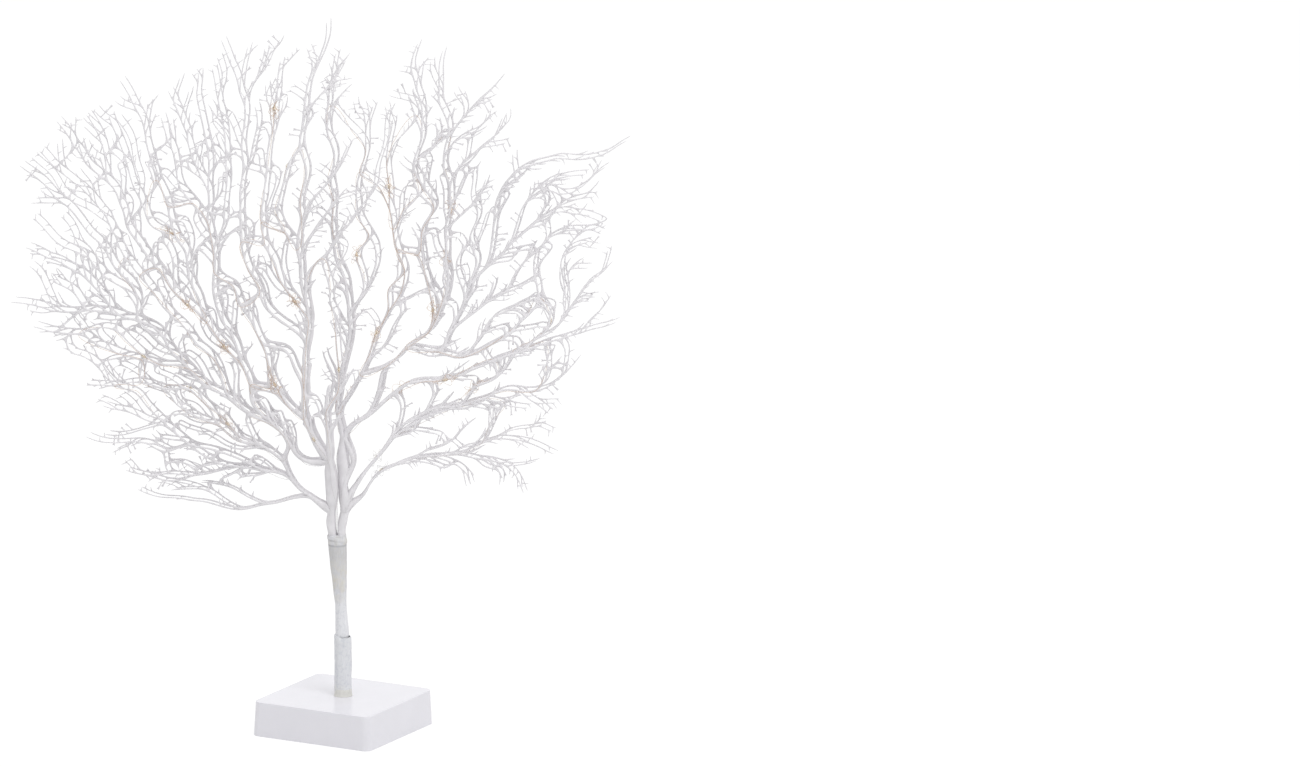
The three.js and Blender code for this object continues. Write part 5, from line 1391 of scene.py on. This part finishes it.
def slack_loops(line, chance):
    """Spare wire wound in loose loops round the bough beside a lamp."""
    middle = line[len(line) // 2]
    ahead = (line[-1] - line[0]).normalized()
    side = ahead.cross(Vector((0, 0, 1))).normalized()
    up = side.cross(ahead)
    turns = chance.choice(SLACK_TURNS)
    count = turns * SLACK_STEPS
    long = chance.uniform(*SLACK_LONG) * MM
    lean = chance.uniform(0, 2 * math.pi)
    loops = []
    for n in range(count + 1):
        share = n / count
        turn = lean + 2 * math.pi * turns * share
        ease = math.sin(math.pi * share) ** 0.5
        wide = ease * (SLACK_WIDE + SLACK_UNEVEN * math.sin(SLACK_BEATS[0] * turn + lean)) * MM
        along = (share - 0.5) * long + SLACK_STRAY * MM * math.sin(SLACK_BEATS[1] * turn)
        loops.append(middle + ahead * along + wide * (math.cos(turn) * side + math.sin(turn) * up))
    return loops


def make_light_wires(copper, lamps):
    """Each string is two enamelled strands twisted together, with spare loops beside its lamps."""
    for side, seed in (("left", 31), ("right", 47)):
        chance = random.Random(seed)
        line = curved(centre_line(f"light_wire_{side}", STRING_RADIUS), WIRE_STEP * MM)
        lines = [twisted(line, STRAND_APART * MM, STRAND_PITCH * MM, phase) for phase in (0, math.pi)]
        loops = []
        for lamp in lamps:
            close = min(range(len(line)), key=lambda n: (line[n] - lamp).length)
            if (line[close] - lamp).length > 1 * MM or chance.random() < NO_SLACK:
                continue
            stretch = line[max(0, close - SLACK_STRETCH):close + SLACK_STRETCH + 1]
            loops.append(slack_loops(stretch, chance))
        wire = wire_piece(f"light_string_{side}", lines, STRAND_RADIUS, copper, loops)
        hand_over(wire, "copper_wire", f"light_wire_{side}")


# Lamp: the drop by share of its half length, the chip by millimetres, each with its radius there
LAMP_DROP = (
    (-1, 0.25), (-0.96, 0.45), (-0.8, 0.78), (-0.5, 1.08), (-0.15, 1.3), (0.15, 1.38), (0.42, 1.26),
    (0.66, 0.98), (0.85, 0.66), (0.97, 0.4), (1, 0.25),
)
CHIP_BLOCK = ((-0.9, 0.32), (-0.8, 0.4), (0.8, 0.4), (0.9, 0.32))
LAMP_END = 3.2
LAMPS = 24


def make_lamp(number, resin, chip):
    """A drop of clear resin along the wire, with the small chip in its middle."""
    node = f"lamp_{number:02d}"
    corners = [v.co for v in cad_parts[node].data.vertices]
    middle = sum(corners, Vector()) / len(corners)
    far = max(corners, key=lambda p: (p - middle).length)
    ends = [p for p in corners if (p - far).length < LAMP_END * MM]
    one_end = sum(ends, Vector()) / len(ends)
    axis = (middle - one_end).normalized()
    places = [(p - middle).dot(axis) for p in corners]
    low, high = min(places), max(places)
    centre = (middle + axis * (low + high) / 2) / MM
    half = (high - low) / 2 / MM
    spin = axis.to_track_quat("Z", "Y")
    shape = Shape()
    shape.loft([
        [centre + spin @ Vector(p) for p in circle(radius, share * half, 16)] for share, radius in LAMP_DROP
    ])
    resin_faces = len(shape.faces)
    shape.loft([
        [centre + spin @ Vector(p) for p in circle(radius, along, 4)] for along, radius in CHIP_BLOCK
    ])
    bead = shape.piece(f"{node}_bead", resin, chip)
    for face in bead.data.polygons:
        face.material_index = 0 if face.index < resin_faces else 1
    hand_over(bead, "lamp_resin", node)
    return centre * MM


LEAD_STEP = 1.5


def make_leads(white, red, black):
    """The covered leads inside the base and the trunk, round on their own routes."""
    for node, radius, slot, finish in (
        ("lead_wire", 0.8, "lead_cover", white), ("cell_lead_plus", 0.6, "red_cover", red),
        ("cell_lead_minus", 0.6, "black_plastic", black),
    ):
        line = curved(centre_line(node, radius), LEAD_STEP * MM)
        lead = wire_piece(f"{node}_cover", [line], radius, finish)
        lead.data.bevel_resolution = 3
        hand_over(lead, slot, node)


# Pieces that keep the frame's own meshes

SHARP = math.radians(35)
FLAT = math.radians(0.5)


def keep(nodes, finish, edge=0.15):
    """Gives frame nodes their finish and breaks their hard edges by a fine bevel."""
    for node in nodes:
        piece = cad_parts[node]
        piece.data.materials.clear()
        piece.data.materials.append(finish)
        piece.data.shade_smooth()
        piece.modifiers.new("joined", "WELD").merge_threshold = SAME_CORNER * MM
        if edge:
            flat = piece.modifiers.new("flat_faces", "DECIMATE")
            flat.decimate_type = "DISSOLVE"
            flat.angle_limit = FLAT
            broken = piece.modifiers.new("broken_edges", "BEVEL")
            broken.width = edge * MM
            broken.segments = 2
            broken.limit_method = "ANGLE"
            broken.angle_limit = SHARP
            broken.miter_outer = "MITER_ARC"
        piece.modifiers.new("even_normals", "WEIGHTED_NORMAL").keep_sharp = True


BOARD_FACE = 1.25
CELL_BARE = 0.6


def finish_kept_nodes(plastic, black):
    steel = rolled_metal("zinc_plated_steel", "#C9CBCE", "#AEB1B5", 0.34, 0.6)
    nickel = rolled_metal("nickel_plated_strip", "#D2CFC7", "#BDBAB1", 0.28, 0.4)
    tube = rolled_metal("drawn_steel_tube", "#B4B6B9", "#8F9296", 0.42, 0.8)
    keep(["floor_plate"], plastic)
    keep(["battery_door"], plastic, 0)
    keep([f"floor_screw_{n}" for n in (1, 2, 3, 4)], steel, 0.12)
    keep(["door_screw"], steel, 0)
    keep(["switch_body"], steel, 0.1)
    keep(["switch_slider"], black, 0)
    board_low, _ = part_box("circuit_board")
    keep(["circuit_board"], fibreglass_board(board_low.z + BOARD_FACE * MM), 0.1)
    keep(["lower_trunk_tube", "core_rod"], tube, 0.1)
    keep(["contact_plate_minus", "contact_bridge_1", "contact_bridge_2", "contact_plate_plus"], nickel, 0)
    low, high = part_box("cell_1")
    keep(["cell_1", "cell_2", "cell_3"], sleeved_cell(min(-low.x, high.x) - CELL_BARE * MM), 0.2)


make_camera()
make_studio()
white_abs = moulded_abs("moulded_abs_white", "#EFEEF4", "#EAE9EF", 0.22)
black_abs = moulded_abs("moulded_abs_black", "#2C2C30", "#232327", 0.45)
base_cover(white_abs)
finish_kept_nodes(white_abs, black_abs)
lower_tape(wound_tape("tape_on_tube", "#DEE0E4", "#D6D8DC", "#D6D4CA", (32, 33, 34, 40)))
# The rod's tape: painted shade deepening from 100 to 148 mm, blue-grey patches of painted shade, and a
# painted shadow line at 157.4 mm under the binding
upper_tape(wound_tape(
    "tape_on_rod", "#DFE0E5", "#BEBDBD", "#CAC6BD", (100, 118, 136, 148), shade_patch_tone="#C3C5CC", line=157.4,
))
binding_strips(wound_tape(
    "tape_at_stems", "#D3D3D8", "#D0D0D5", "#CDCAC2", (150, 156, 160, 170), shade_patch_tone="#B9BAC2",
))
glue_collar(dried_glue())
make_coral(painted_polyethylene())
clear_resin = cast_resin()
cream_chip = phosphor_chip()
lamp_places = [make_lamp(number, clear_resin, cream_chip) for number in range(1, LAMPS + 1)]
make_light_wires(enamelled_copper(sprayed=225, bare=290), lamp_places)
make_leads(
    drawn_cover("pvc_cover_white", "#ECEAE4", "#E2E0D9"), drawn_cover("pvc_cover_red", "#B23A33", "#9E302A"),
    drawn_cover("pvc_cover_black", "#303033", "#27272A"),
)
